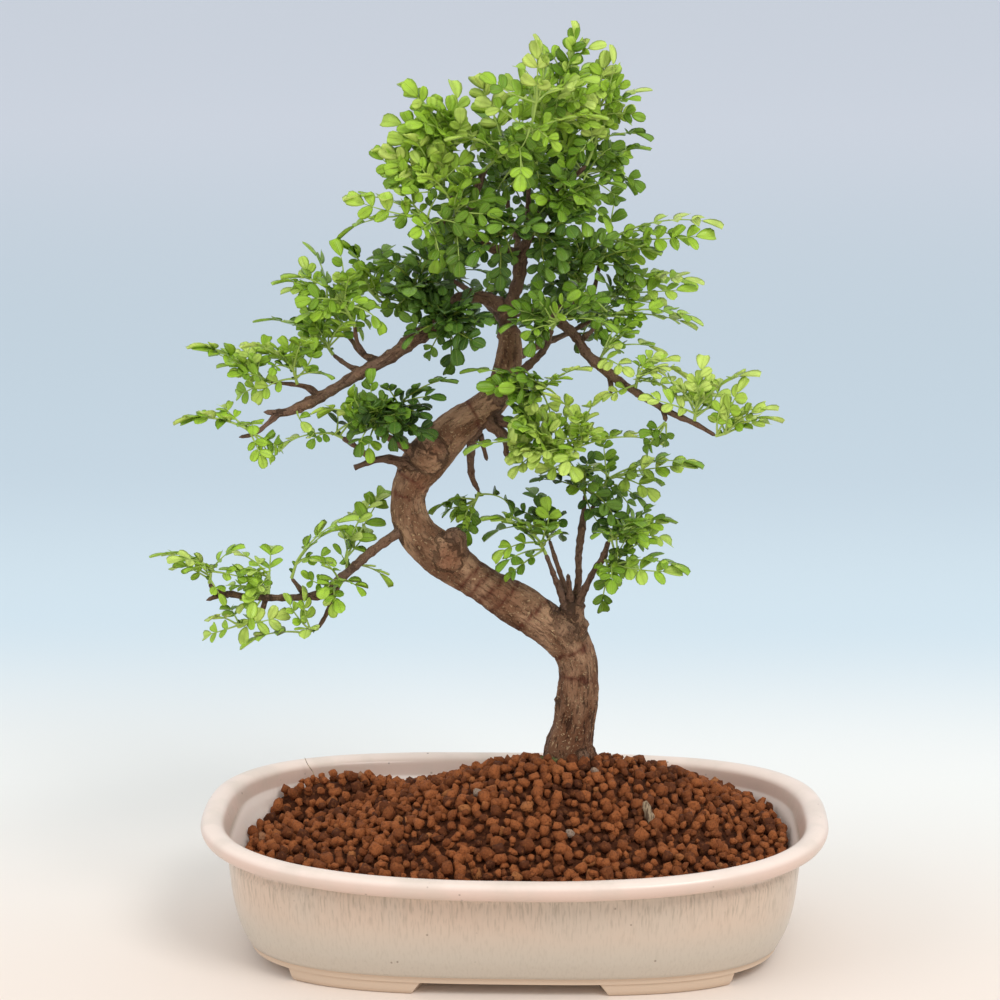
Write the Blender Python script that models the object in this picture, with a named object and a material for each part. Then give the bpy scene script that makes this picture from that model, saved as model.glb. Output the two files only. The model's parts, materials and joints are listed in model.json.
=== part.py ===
"""Japanese pepper bonsai: a crooked trunk with leafy sprays, rooted in granules in an oval glazed pot.

The tables are in millimetres, measured from the middle of the pot on the ground: +X to the right,
+Y away from the front and +Z up. at() turns them into metres and moves the pot sideways, so that
the origin lies under the middle of the whole object.
"""

import math
import random

import bmesh
import bpy
from mathutils import Vector
from mathutils.geometry import delaunay_2d_cdt

MM = 0.001
POT_SHIFT = 6.8
# Heights below count from a level this far above the ground.
POT_LIFT = 2.5
TOUCH_GAP = 0.35

POT_WIDTH = 210.0
POT_DEPTH = 144.6
# The wall is squarer in plan than the rim, which also rises towards the pot's ends.
WALL_POWER = 3.1
RIM_POWER = 2.65
RIM_FROM = 34.0
RIM_RISE = 2.8
OUTLINE_SIDES = 48
SHARP_POT_EDGE = 38.0
# How far inside the rim's outline, and how high, from the base ring up round the rolled lip.
POT_OUTSIDE = [
    (16.4, 1.9), (16.2, 3.8), (15.2, 4.4), (13.5, 8.0), (11.8, 13.0), (10.2, 21.5), (9.2, 31.5),
    (6.4, 34.5), (1.2, 36.2), (0.0, 38.4), (1.4, 40.4),
]
# The same for the inner wall, from the top of the lip down to the floor.
POT_INSIDE = [(4.2, 41.3), (7.4, 39.5), (11.6, 31.5), (16.6, 13.5), (21.0, 7.0)]
FLOOR_TOP = 7.0
BASE_HEIGHT = 1.9

FOOT_WIDTH = 12.0
FOOT_INSET = 16.9
FOOT_SINK = 0.8
FOOT_TAPER = 1.0
FOOT_FROM, FOOT_TO = 41.5, 80.0
FOOT_END_SLOPE = 1.6
FOOT_STEPS = 4

DRAIN_RADIUS = 6.5
DRAIN_OFFSET = 38.0
DRAIN_SIDES = 20
CUT_OVER = 1.0
SCREEN_SIZE = 20.0
SCREEN_THICKNESS = 1.0
SCREEN_HOLE = 6.0
SCREEN_PITCH = 8.5

TRUNK_FOOT = (18.0, 20.0)
STUMP_BOTTOM = 38.0
HOLE_RADIUS = 9.45
HOLE_SIDES = 24
# Triangles whose middle is nearer than this share of the radius lie in the hole.
HOLE_INSIDE = 0.98
SOIL_LEVEL = 26.7
# Heaps on the level: height, middle (x, y) and spread (x, y). The first is round the trunk.
HEAPS = [(28.7, 7, 3.5, 57.5, 51), (10.3, -66.5, 41, 25.5, 7.6), (8.7, 53.5, 26, 35.5, 31.5)]
EDGE_ROUGHNESS = (-0.4, 0.9)
EDGE_DEPTH = 2.0
HOLE_DIP = 0.6
GRAIN_PITCH = 5.7
GRAIN_WANDER = 0.9
GRAIN_TO_WALL = 3.0
GRAIN_TO_HOLE = 2.6
# A grain's relief above or below the heap: the least, and how much chance adds.
GRAIN_PEAK = (1.4, 1.8)
GRAIN_VALLEY = (0.5, 1.2)
SOIL_SEED = 7

DRY_TWIG = [(46.5, -16.0, 41.5), (45.0, -16.0, 46.5), (43.5, -15.6, 51.0)]
DRY_TWIG_RADIUS = 1.25
DRY_TWIG_SIDES = 7
DRY_TWIG_STEP = 3.0
TWIG_HOLE_FIT = 1.15
TWIG_HOLE_SIDES = 8
TWIG_HOLE_REACH = 2.2

BLADE_THICKNESS = 0.86
PAIR_PITCH = 10.0
LEAFLET_LENGTH = 6.2
LEAFLET_SHARE = 0.30
# Where a pair's lower and upper corners lie along its pitch, and how far out the lower one is.
PAIR_LOW, PAIR_HIGH, PAIR_LOW_REACH = 0.22, 0.80, 0.9
# Pairs are longest this share of the way along a leaf, and this much shorter at its ends.
PAIR_LONGEST, PAIR_TAPER = 0.45, 0.50
END_LEAFLET = 5.4
END_WIDEST, END_WIDTH_SHARE, END_WIDTH = 0.45, 0.42, 0.3
RIB_HALF = 0.45
STALK = 2.4
STALK_SHARE = 0.16
STEEP = 0.25
SHOOT_HALF = 0.55
# A shoot leaves from a twig's end from this share of its last stretch on, and ties go to the first.
NEAR_END = 0.99
TIE = 0.01

# Wood: sides of the tube, then its centre line as (x, y, z, radius).
WOOD = {
    "trunk": (11, [
        (18, 20, 38, 8.4), (18, 20, 48, 8.8), (18, 20, 55, 8.9), (18, 19.5, 60, 7.7), (19.5, 19, 67, 6.9),
        (20.5, 18, 75, 7.1), (21, 17, 83, 7.0), (20.5, 17, 90, 7.0), (17.5, 16, 97, 7.4),
        (11, 15, 103, 7.1), (3, 15, 108.5, 7.6), (-4, 14, 113, 7.2), (-10, 13, 117, 6.5),
        (-17, 13, 121.5, 6.6), (-25, 12, 128, 7.4), (-32, 12, 134, 6.5), (-35.5, 12, 141, 6.0),
        (-36, 13, 148, 5.9), (-34, 13, 154, 6.5), (-30, 13, 160, 7.4), (-24, 13, 167, 6.8),
        (-18, 13, 172.5, 6.1), (-11, 14, 177, 5.5), (-5.5, 14, 183, 4.7), (-3, 14, 191, 4.6),
        (-2, 13, 200, 3.9), (-3, 13, 207, 2.9),
    ]),
    "upper_trunk": (7, [
        (-2, 13, 200, 3.0), (-3, 13, 208, 2.8), (-1, 12, 215, 2.3), (1, 11, 222, 2.3), (1.5, 11, 229, 2.4),
        (4, 10, 235, 1.9), (6, 9, 241, 1.6), (11, 9, 247, 1.4), (23, 8, 259, 0.9),
    ]),
    "cut_knob": (6, [(-22, 12, 124, 4.6), (-20.5, 10, 132, 4.0), (-21, 8.5, 137, 2.6)]),
    "bend_knob": (6, [(18, 17, 100, 5.0), (19, 15, 107, 4.0), (19, 14.5, 112, 3.4)]),
    "low_branch": (6, [
        (-35, 12, 138, 2.6), (-40.5, 9, 135, 2.0), (-48, 6, 130, 1.9), (-54, 4, 125, 1.8),
        (-59, 1.5, 121, 1.9), (-63, -1, 117.5, 2.1), (-69, -4, 117, 1.6), (-77, -6, 117, 1.5),
        (-88, -9, 118, 1.5), (-95, -11, 119.5, 1.4), (-101, -14, 118, 0.9),
    ]),
    "low_fork": (4, [(-94, -11, 119, 1.2), (-98, -13, 121, 1.1), (-100, -14, 124, 0.9)]),
    "low_sub": (4, [(-59, 1, 120, 1.4), (-62, -4, 112, 1.1), (-65, -8, 107, 0.9)]),
    "low_spur": (4, [(-69, -4, 117, 1.2), (-74, -4, 123.5, 0.8)]),
    "low_nub": (4, [(-82, -7.5, 117.5, 1.2), (-84, -9, 112, 0.9), (-89, -10, 108.5, 0.7)]),
    "left_stub": (5, [(-35, 11, 158, 2.4), (-41, 8, 161, 1.9), (-46, 5, 161.5, 1.5), (-53, 2, 159.5, 1.2)]),
    "left_spur": (4, [(-47, 4.5, 161.5, 1.2), (-52, 3, 166, 1.1), (-57, 0.5, 170, 1.3)]),
    "left_cut": (5, [(-28, 9, 161, 2.8), (-36, 4, 166, 2.1), (-41, 1, 169.5, 1.7), (-45.5, -3, 173, 1.4)]),
    "left_knot": (5, [(-26, 9, 163, 3.6), (-29.5, 4, 168, 2.9), (-32, 2, 171, 1.4), (-36.5, -1, 174, 1.0)]),
    "upper_left": (6, [
        (-2, 13, 210, 2.4), (-9, 13, 214, 2.4), (-16, 12, 215, 2.5), (-22.5, 9, 211, 2.7),
        (-28, 7, 205, 2.6), (-34, 5, 201.5, 2.6), (-39.5, 2, 197.5, 2.4), (-46, 0, 194, 2.3),
        (-52, -2, 191, 2.2), (-59, -5, 187, 2.0), (-66, -8, 183.5, 2.2), (-74, -11, 180.5, 1.8),
        (-81, -14, 181, 1.1),
    ]),
    "upper_left_tail": (4, [
        (-76, -12, 180.5, 1.3), (-80, -14, 177, 1.0), (-84, -15, 174, 0.9), (-89, -16, 173, 0.8),
    ]),
    "upper_left_a": (4, [
        (-64, -7, 185, 1.6), (-67, -6, 187.5, 1.3), (-72, -5, 188.5, 1.0), (-80, -4, 189, 0.8),
    ]),
    "upper_left_b": (4, [(-50, -1.5, 192, 1.5), (-55, 1, 194, 1.1), (-60, 4, 197, 0.9)]),
    "upper_left_c": (4, [(-44, 1, 195, 1.7), (-50, 4, 197, 1.4), (-54, 8, 201, 1.1), (-58, 10, 206, 0.8)]),
    "upper_left_d": (4, [(-49.5, 4, 197, 1.1), (-51.5, -1, 202, 1.0), (-52, -5, 208, 0.8)]),
    "upper_left_e": (5, [(-21, 10, 212, 2.0), (-27, 10, 213.5, 1.7), (-35, 12, 211, 1.4), (-45, 14, 213, 0.8)]),
    "right_branch": (6, [
        (-2, 13, 211, 2.6), (5, 11, 211, 2.1), (11, 8, 210, 2.0), (16, 5.5, 206.5, 2.0), (20, 3, 203, 1.9),
        (23.5, 0, 198, 2.0), (28, -3, 194.5, 2.1), (33, -6, 191, 1.8), (39, -9, 187.5, 1.6),
        (45, -12, 184.5, 1.5), (51, -15, 181.5, 1.4), (58, -18.5, 179, 1.2), (65, -22, 175.5, 0.9),
    ]),
    "right_nub_a": (4, [(31, -5, 192, 1.3), (31.5, -6, 186, 0.8)]),
    "right_nub_b": (4, [(48, -13.5, 183, 1.1), (49, -16, 179, 0.8)]),
    "right_spur": (4, [(21, 2, 202, 1.3), (25, 6, 205, 1.0), (29, 10, 209, 0.9)]),
    "far_right": (5, [
        (0, 13, 213, 2.0), (7, 16, 210.5, 1.5), (13, 18, 210.5, 1.3), (19, 20, 212, 1.2),
        (25, 22, 214, 1.1), (31, 24, 213, 0.8),
    ]),
    "far_right_up": (4, [(24, 21.6, 213.6, 1.0), (26, 22, 218, 1.0), (28, 24, 228, 0.8)]),
    "mid_right_a": (5, [(-3, 13, 186, 2.2), (5, 7, 194, 1.7), (10, 3, 200, 1.4), (12, -2, 207, 1.0)]),
    "mid_right_b": (4, [(-6, 13, 174, 1.9), (0, 5, 173, 1.5), (4, 1, 178, 1.2), (7, -2, 183, 0.9)]),
    "mid_right_c": (5, [
        (-10, 13, 174, 2.4), (-2, 7, 168, 1.9), (5, 1, 166, 1.6), (10, -3, 166, 1.4), (17, -6, 166.5, 1.0),
    ]),
    "mid_right_d": (4, [(-3, 7.5, 169, 1.3), (-3, 3, 163, 1.1)]),
    "hanging_a": (5, [(-13, 14, 172, 2.2), (-15, 16, 164, 1.9), (-15, 18, 154, 1.5), (-12.5, 20, 147.5, 0.9)]),
    "hanging_b": (4, [(-12, 16, 168, 1.3), (-10, 22, 158, 0.8)]),
    "crown_left": (5, [
        (1, 11, 229, 2.2), (-5, 9, 230.5, 2.0), (-11, 4, 234, 1.8), (-16, 0, 239, 1.6), (-21, -4, 241.5, 1.3),
        (-26, -6, 242, 0.9),
    ]),
    "crown_cut": (5, [(-14.5, 1, 237.5, 1.5), (-14.5, 1, 245, 1.7), (-10, 2, 258, 1.5)]),
    "crown_left_up": (4, [(-18, -2, 240, 1.2), (-21, 2, 249, 1.1), (-20, 4, 259, 0.8)]),
    "crown_up": (4, [(3, 11, 232, 1.5), (4, 8, 245, 1.3), (4, 5, 256, 0.9)]),
    "crown_back": (5, [(1, 11, 226, 2.0), (0, 22, 233, 1.6), (-3, 31, 241, 1.2), (-4, 37, 249, 0.8)]),
    "crown_back_b": (4, [(0, 22, 233, 1.2), (9, 28, 240, 1.1), (16, 32, 250, 0.8)]),
    "back_left": (5, [(-2, 13, 203, 2.2), (-7, 25, 208, 1.7), (-15, 34, 213, 1.4), (-25, 40, 218, 0.9)]),
    "back_right": (5, [(-2, 14, 194, 2.2), (6, 26, 196, 1.7), (16, 35, 199, 1.3), (25, 41, 203, 0.9)]),
    "collar_a": (4, [(17.5, 14, 109, 1.9), (14, 11, 118, 1.4), (12, 8.5, 124, 1.2), (10, 6, 130, 0.9)]),
    "collar_b": (4, [(18, 15.5, 110, 1.8), (15.5, 18, 118, 1.2), (13, 20, 125, 1.1), (11, 22, 131, 0.8)]),
    "collar_c": (4, [(18.5, 13.5, 111, 1.6), (17.5, 8, 122.5, 1.0)]),
    "collar_d": (5, [
        (19.5, 15, 110, 2.0), (21, 16.5, 118, 1.5), (21, 16.5, 127, 1.5), (22, 17, 136, 1.7),
        (22.5, 18, 141, 1.2), (23, 18, 148, 0.9),
    ]),
    "collar_e": (4, [(22, 17.5, 138, 1.2), (26, 21, 143, 1.0), (29, 25, 149, 0.8)]),
    "collar_f": (4, [
        (20.5, 14, 110, 1.8), (23, 11.5, 116, 1.6), (26, 9, 123, 1.4), (29, 7, 128, 1.6), (31, 4, 135, 1.0),
    ]),
}

# Sprays: the place inside the wood that the shoot grows from, the shoot's points, then its compound
# leaves: the one at its end as (tip, roll in degrees) and each other as (share of the way along
# the shoot, tip, roll).
SPRAYS = {
    "spray_low_tip": ((-100, -14, 124), [(-99, -14.5, 129)], [
        ((-118.5, -21, 135), 10), (0.45, (-114, -4, 127), -10), (0.75, (-88, -14, 137), 15)]),
    "spray_low_nub": ((-89, -10, 108.5), [(-92, -11, 109.5)], [
        ((-100, -22, 114), 30), (0.6, (-96, 3, 112), -20)]),
    "spray_low_top": ((-81, -7, 117.5), [(-81, -5, 124)], [
        ((-96, 0, 132), 0), (0.6, (-82, 14, 131), 0), (0.8, (-86, -20, 129), 10)]),
    "spray_low_spur": ((-74, -4, 123.5), [(-72, -4.5, 129)], [
        ((-51, -9, 146), 15), (0.75, (-56, 8, 139), -25)]),
    "spray_low_sub": ((-65, -8, 107), [(-69, -9.5, 106)], [
        ((-91, -13, 102), 0), (0.5, (-68, -24, 109), 0)]),
    "spray_low_bend": ((-56, 3, 123), [(-57, 9, 127)], [
        ((-44, 27, 148), 40), (0.5, (-42, 18, 116), 0)]),
    "spray_low_front": ((-60, 1, 120), [(-58, -5, 123)], [
        ((-66, -16, 133), 0), (0.75, (-49, -16, 121), -20)]),

    "spray_left_tip": ((-57, 0.5, 170), [(-60, -0.5, 171.5)], [
        ((-78, -6, 167), 0), (0.6, (-60, 14, 178), 20)]),
    "spray_left_cut": ((-45.5, -3, 173), [(-48, -6, 177)], [
        ((-66, -18, 182), 30), (0.8, (-53, -13, 190), 80), (0.5, (-50, -20, 168), 20)]),
    "spray_left_knot": ((-36.5, -1, 174), [(-39, -4, 177), (-37, -8, 183)], [
        ((-18, -13, 192), -10), (0.85, (-43, -14, 191), 20), (0.5, (-38, -24, 177), 0)]),

    "spray_upper_a": ((-80, -4, 189), [(-84, -5, 191)], [
        ((-106, -12, 203), 20), (0.5, (-94, 6, 198), -20)]),
    "spray_upper_front": ((-71, -5, 188.5), [(-72, -9, 195)], [
        ((-88, -17, 204), 15), (0.8, (-66, -22, 207), 0), (0.4, (-58, -16, 193), -20)]),
    "spray_upper_tail": ((-84, -15, 174), [(-86.5, -18.5, 176.5)], [
        ((-110, -22, 179.5), 10), (0.6, (-80, -22, 164), 30)]),
    "spray_upper_b": ((-60, 4, 197), [(-63, 5.5, 201)], [
        ((-86, 1, 209), 10), (0.75, (-76, 18, 207), -10)]),
    "spray_upper_c": ((-58, 10, 206), [(-61, 11, 211), (-63, 12, 215)], [
        ((-80, 5, 221), 10), (0.85, (-70, 18, 233), 30)]),
    "spray_upper_d": ((-52, -5, 208), [(-54, -8, 213), (-56, -9, 217)], [
        ((-75, -14, 226), 0), (0.8, (-50, -22, 229), 10), (0.5, (-70, -20, 212), 0)]),
    "spray_upper_e": ((-45, 14, 213), [(-49, 15, 217)], [
        ((-58, 14, 234), 20), (0.8, (-42, 28, 231), 0)]),
    "spray_upper_inner": ((-31, 11, 212), [(-33, 8, 219)], [
        ((-45, -4, 230), 10), (0.8, (-24, 4, 234), -20), (0.5, (-34, -12, 220), 0)]),
    "spray_upper_root": ((-25, 8, 208), [(-22, 1, 208)], [
        ((-14, -14, 214), 0), (0.8, (-36, -12, 202), 10), (0.5, (-18, -10, 196), 0)]),

    "spray_mid_right": ((17, -6, 166.5), [(21, -8, 169), (22, -10, 173)], [
        ((10, -20, 190), 0), (0.85, (30, -16, 190), 0), (0.3, (50, -12, 171), 0),
        (0.6, (16, -28, 164), 0)]),
    "spray_mid_right_low": ((9, -2, 166), [(9, -7, 168.5)], [
        ((-17, -13, 168), 0), (0.75, (3, -22, 178), 0)]),
    "spray_mid_front": ((7, -2, 183), [(8.5, -4.5, 187)], [
        ((-18, -9, 194), 0), (0.7, (25, -12, 196), 0)]),
    "spray_mid_top": ((12, -2, 207), [(14, -5, 210)], [
        ((34, -12, 208), 0), (0.75, (-5, -14, 208), 0)]),

    "spray_right_spur": ((29, 10, 209), [(32, 10, 210)], [
        ((62, 8, 207), 10), (0.6, (38, 24, 204), 0)]),
    "spray_right_a": ((27, -2.5, 195.2), [(29, 3, 199)], [
        ((50, 12, 197), 0), (0.7, (40, -4, 207), 0)]),
    "spray_right_b": ((39, -9, 187.5), [(40, -8, 193)], [
        ((57, 2, 191), 0), (0.75, (50, -20, 197), 0)]),
    "spray_right_c": ((58, -18.5, 179), [(58.5, -18, 184)], [
        ((61, -13, 201), 20), (0.75, (78, -30, 198), 10)]),
    "spray_right_tip": ((65, -22, 175.5), [(68, -22.5, 176.5)], [
        ((84, -31, 187), 10), (0.6, (87, -14, 180), -10)]),

    "spray_far_top": ((28, 24, 228), [(31, 23.5, 233)], [
        ((68, 12, 239), 10), (0.4, (46, 30, 228), 0), (0.8, (34, 36, 250), 0)]),
    "spray_far_end": ((31, 24, 213), [(34, 24.5, 215)], [
        ((62, 14, 220), 10), (0.6, (50, 42, 214), 0)]),
    "spray_far_inner": ((22, 21, 213), [(21, 17, 219), (21, 16, 228)], [
        ((20, 20, 249), 30), (0.7, (48, 8, 231), 0), (0.4, (8, 0, 226), 0)]),

    "spray_crown_top": ((4, 5, 256), [(9, 4, 268), (14, 4, 284)], [
        ((19, 2, 306), 60), (0.7, (26, 16, 292), 0), (0.45, (0, 14, 282), 0)]),
    "spray_crown_front": ((-10, 2, 258), [(-7, -2, 261), (4, -12, 271), (7, -16, 281)], [
        ((7, -21, 303), 80), (0.5, (30, -20, 277), 0), (0.3, (-22, -16, 270), 0)]),
    "spray_crown_tip": ((23, 8, 259), [(26, 8, 267), (27, 7, 278)], [
        ((31, 5, 298), 60), (0.8, (44, 10, 284), 10), (0.4, (44, -4, 269), 0)]),
    "spray_crown_right": ((19, 8.4, 255), [(26, 13, 257)], [
        ((44, 20, 264), 0), (0.75, (40, 16, 249), 0)]),
    "spray_crown_low": ((11, 9, 247), [(16, 3, 249)], [
        ((36, -4, 254), 0), (0.75, (18, -16, 256), 0)]),
    "spray_crown_high": ((4, 6.5, 251), [(0, -1, 257), (-4, -5, 268)], [
        ((-13, -10, 290), 50), (0.8, (2, -6, 292), 60)]),
    "spray_crown_mid": ((-20, 4, 259), [(-21, 3.5, 266)], [
        ((-37, -6, 287), 30), (0.8, (-20, 8, 287), 40), (0.5, (-38, 12, 272), 0)]),
    "spray_crown_left": ((-21, 2, 249), [(-26, -2, 253)], [
        ((-46, -6, 266), 10), (0.8, (-34, -16, 272), 10), (0.5, (-44, 10, 256), 0)]),
    "spray_crown_face": ((-19, -2.5, 240.5), [(-19, -9, 246)], [
        ((-30, -22, 260), 0), (0.8, (-10, -24, 262), 0)]),
    "spray_crown_side": ((-26, -6, 242), [(-30, -7, 243.5)], [
        ((-55, -14, 251), 0), (0.7, (-58, -5, 237), 0)]),
    "spray_crown_heart": ((-8, 6.5, 232.2), [(-5, -1, 236), (-3, -7, 240)], [
        ((2, -26, 248), 0), (0.7, (-14, -20, 230), 0)]),
    "spray_crown_fork": ((4, 9.8, 236), [(10, 2, 237)], [
        ((24, -12, 244), 0), (0.7, (16, -12, 231), 0)]),

    "spray_back_top": ((-4, 37, 249), [(-5, 40, 254)], [
        ((-14, 46, 274), 0), (0.8, (8, 52, 262), 0)]),
    "spray_back_high": ((16, 32, 250), [(18, 34, 255)], [
        ((12, 34, 279), 0), (0.8, (36, 42, 258), 0)]),
    "spray_back_left": ((-25, 40, 218), [(-29, 42, 220)], [
        ((-52, 44, 224), 0), (0.8, (-32, 62, 226), 0), (0.5, (-22, 48, 238), 0)]),
    "spray_back_right": ((25, 41, 203), [(28, 43, 205)], [
        ((50, 52, 208), 0), (0.8, (26, 64, 208), 0), (0.4, (20, 52, 190), 0)]),

    "spray_collar_a": ((10, 6, 130), [(8.5, 4, 134)], [
        ((-11, -5, 145), 10), (0.8, (12, -14, 144), 0), (0.4, (-6, -6, 127), 0)]),
    "spray_collar_b": ((11, 22, 131), [(9.5, 23, 135)], [
        ((-12, 18, 132), 0), (0.75, (4, 40, 146), 0)]),
    "spray_collar_d": ((23, 18, 148), [(22, 17.5, 152)], [
        ((8, 6, 158), 0), (0.8, (26, 0, 162), 0), (0.6, (14, 36, 158), 0)]),
    "spray_collar_e": ((29, 25, 149), [(32, 26, 152)], [
        ((63, 17, 158), 0), (0.75, (50, 36, 148), 0), (0.4, (44, 18, 143), 0)]),
    "spray_collar_f": ((31, 4, 135), [(34, 3, 137)], [
        ((54, 10, 141), 0), (0.75, (42, -14, 145), 0)]),
    "spray_collar_g": ((29, 7, 128), [(33, 3, 127)], [
        ((58, -6, 127), 0), (0.7, (32, -12, 121), 0)]),
    "spray_hanging": ((-12.5, 20, 147.5), [(-14, 21.5, 144)], [
        ((-18, 27, 127), 0), (0.8, (-30, 32, 138), 0)]),
}

WOOD_STEP = 8.0
SHARP_WOOD_EDGE = 50.0
ARCH = 0.10
FOLD = 0.22


def at(x, y, z):
    """A place in the tables, as a vector in metres from the part's origin."""
    return Vector(((x + POT_SHIFT) * MM, y * MM, (z + POT_LIFT) * MM))


def clear_scene():
    """Removes every object that is in the scene."""
    for thing in list(bpy.data.objects):
        bpy.data.objects.remove(thing)


def material(name, color, roughness):
    """A plain Principled material."""
    made = bpy.data.materials.new(name)
    made.use_nodes = True
    shader = made.node_tree.nodes["Principled BSDF"]
    shader.inputs["Base Color"].default_value = (*color, 1.0)
    shader.inputs["Roughness"].default_value = roughness
    return made


def add_object(name, verts, faces, finish=None):
    """An object with this mesh, linked to the scene and with its faces turned outwards."""
    mesh = bpy.data.meshes.new(name)
    mesh.from_pydata([tuple(v) for v in verts], [], faces)
    shape = bmesh.new()
    shape.from_mesh(mesh)
    bmesh.ops.recalc_face_normals(shape, faces=shape.faces)
    shape.to_mesh(mesh)
    shape.free()
    made = bpy.data.objects.new(name, mesh)
    bpy.context.scene.collection.objects.link(made)
    if finish is not None:
        mesh.materials.append(finish)
    return made


def combine(base, others, operation="UNION", solver="EXACT"):
    """Adds the other objects to the base, or cuts them out of it, and removes them."""
    group = bpy.data.collections.new(base.name + "_pieces")
    bpy.context.scene.collection.children.link(group)
    for other in others:
        bpy.context.scene.collection.objects.unlink(other)
        group.objects.link(other)
    modifier = base.modifiers.new("combine", "BOOLEAN")
    modifier.operand_type = "COLLECTION"
    modifier.collection = group
    modifier.operation = operation
    modifier.solver = solver
    graph = bpy.context.evaluated_depsgraph_get()
    mesh = bpy.data.meshes.new_from_object(base.evaluated_get(graph))
    base.modifiers.clear()
    base.data = mesh
    for other in others:
        bpy.data.objects.remove(other)
    bpy.data.collections.remove(group)
    return base


def outline(inset, angle_deg, fullness=WALL_POWER):
    """The point of the oval, this far inside the rim's outline, at this angle."""
    c, s = math.cos(math.radians(angle_deg)), math.sin(math.radians(angle_deg))
    power = 2.0 / fullness
    x = (POT_WIDTH / 2 - inset) * math.copysign(abs(c) ** power, c)
    y = (POT_DEPTH / 2 - inset) * math.copysign(abs(s) ** power, s)
    return x, y


def on_level(inset, z, angle_deg):
    """The place (x, y, z) at this angle on a level of the wall or, higher up, of the rim."""
    if z < RIM_FROM:
        return (*outline(inset, angle_deg), z)
    x, y = outline(inset, angle_deg, RIM_POWER)
    return x, y, z + RIM_RISE * (2 * x / POT_WIDTH) ** 2


def ring(inset, z):
    """One level of the pot as a list of places."""
    return [at(*on_level(inset, z, 360.0 * i / OUTLINE_SIDES)) for i in range(OUTLINE_SIDES)]


def loft(rings):
    """Vertices and faces of a skin through rings of the same size, closed by a face at each end."""
    count = len(rings[0])
    verts = [v for level in rings for v in level]
    faces = []
    for level in range(len(rings) - 1):
        low, high = level * count, (level + 1) * count
        for i in range(count):
            j = (i + 1) % count
            faces.append((low + i, low + j, high + j, high + i))
    faces.append(tuple(range(count)))
    faces.append(tuple(range((len(rings) - 1) * count, len(rings) * count)))
    return verts, faces


def prism(name, corners, z_low, z_high):
    """An upright prism over the corners."""
    low = [at(x, y, z_low) for x, y in corners]
    high = [at(x, y, z_high) for x, y in corners]
    return add_object(name, *loft([low, high]))


def circle(x, y, radius, sides):
    """Corners of a regular polygon."""
    turns = [2 * math.pi * i / sides for i in range(sides)]
    return [(x + radius * math.cos(t), y + radius * math.sin(t)) for t in turns]


def square(x, y, size):
    """Corners of a square."""
    h = size / 2
    return [(x - h, y - h), (x + h, y - h), (x + h, y + h), (x - h, y + h)]


def foot(name, middle_deg):
    """A foot that follows the oval for a quarter, narrower at the ground than at the base."""
    half = (FOOT_TO - FOOT_FROM) / 2
    rings = []
    for step in range(FOOT_STEPS + 1):
        share = 2.0 * step / FOOT_STEPS - 1.0
        top_turn = middle_deg + share * half
        low_turn = middle_deg + share * (half - FOOT_END_SLOPE)
        outer, inner = FOOT_INSET, FOOT_INSET + FOOT_WIDTH
        rings.append([
            at(*outline(outer, top_turn), BASE_HEIGHT + FOOT_SINK),
            at(*outline(outer + FOOT_TAPER, low_turn), -POT_LIFT),
            at(*outline(inner - FOOT_TAPER, low_turn), -POT_LIFT),
            at(*outline(inner, top_turn), BASE_HEIGHT + FOOT_SINK),
        ])
    return add_object(name, *loft(rings))


def build_pot(finish):
    """The oval pot: rolled lip, flared inner wall, base ring, corner feet and two drain holes."""
    rings = [ring(inset, z) for inset, z in POT_OUTSIDE + POT_INSIDE]
    pot = add_object("pot", *loft(rings), finish)
    corner = (FOOT_FROM + FOOT_TO) / 2
    feet = [foot("foot", turn) for turn in (corner, 180 - corner, 180 + corner, 360 - corner)]
    combine(pot, feet)
    drains = [
        prism("drain", circle(x, 0, DRAIN_RADIUS, DRAIN_SIDES), BASE_HEIGHT - CUT_OVER, FLOOR_TOP + CUT_OVER)
        for x in (-DRAIN_OFFSET, DRAIN_OFFSET)
    ]
    combine(pot, drains, "DIFFERENCE")
    pot.data.shade_smooth()
    pot.data.set_sharp_from_angle(angle=math.radians(SHARP_POT_EDGE))
    return pot


def build_screen(name, x, finish):
    """The open mesh that keeps the granules out of a drain hole."""
    low = FLOOR_TOP + TOUCH_GAP
    top = low + SCREEN_THICKNESS
    screen = prism(name, square(x, 0, SCREEN_SIZE), low, top)
    screen.data.materials.append(finish)
    offsets = (-SCREEN_PITCH / 2, SCREEN_PITCH / 2)
    holes = [
        prism("hole", square(x + dx, dy, SCREEN_HOLE), low - CUT_OVER, top + CUT_OVER)
        for dx in offsets for dy in offsets
    ]
    return combine(screen, holes, "DIFFERENCE")


def mound(x, y):
    """Height of the granules over the pot's floor plan, before their relief."""
    heaps = [
        height * math.exp(-((x - mid_x) / wide) ** 2 - ((y - mid_y) / deep) ** 2)
        for height, mid_x, mid_y, wide, deep in HEAPS
    ]
    return SOIL_LEVEL + sum(heaps)


def inside_share(x, y, inset):
    """Below 1 inside the oval at this inset, and above 1 outside it."""
    a, b = POT_WIDTH / 2 - inset, POT_DEPTH / 2 - inset
    return abs(x / a) ** WALL_POWER + abs(y / b) ** WALL_POWER


def on_inner_wall(angle_deg, height):
    """The place (x, y, z) at this angle and height, a gap away from the pot's inner wall."""
    levels = [Vector(on_level(inset + TOUCH_GAP, z, angle_deg)) for inset, z in POT_INSIDE[1:]]
    for upper, lower in zip(levels, levels[1:]):
        if height > lower.z:
            break
    return lower.lerp(upper, (height - lower.z) / (upper.z - lower.z))


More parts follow.
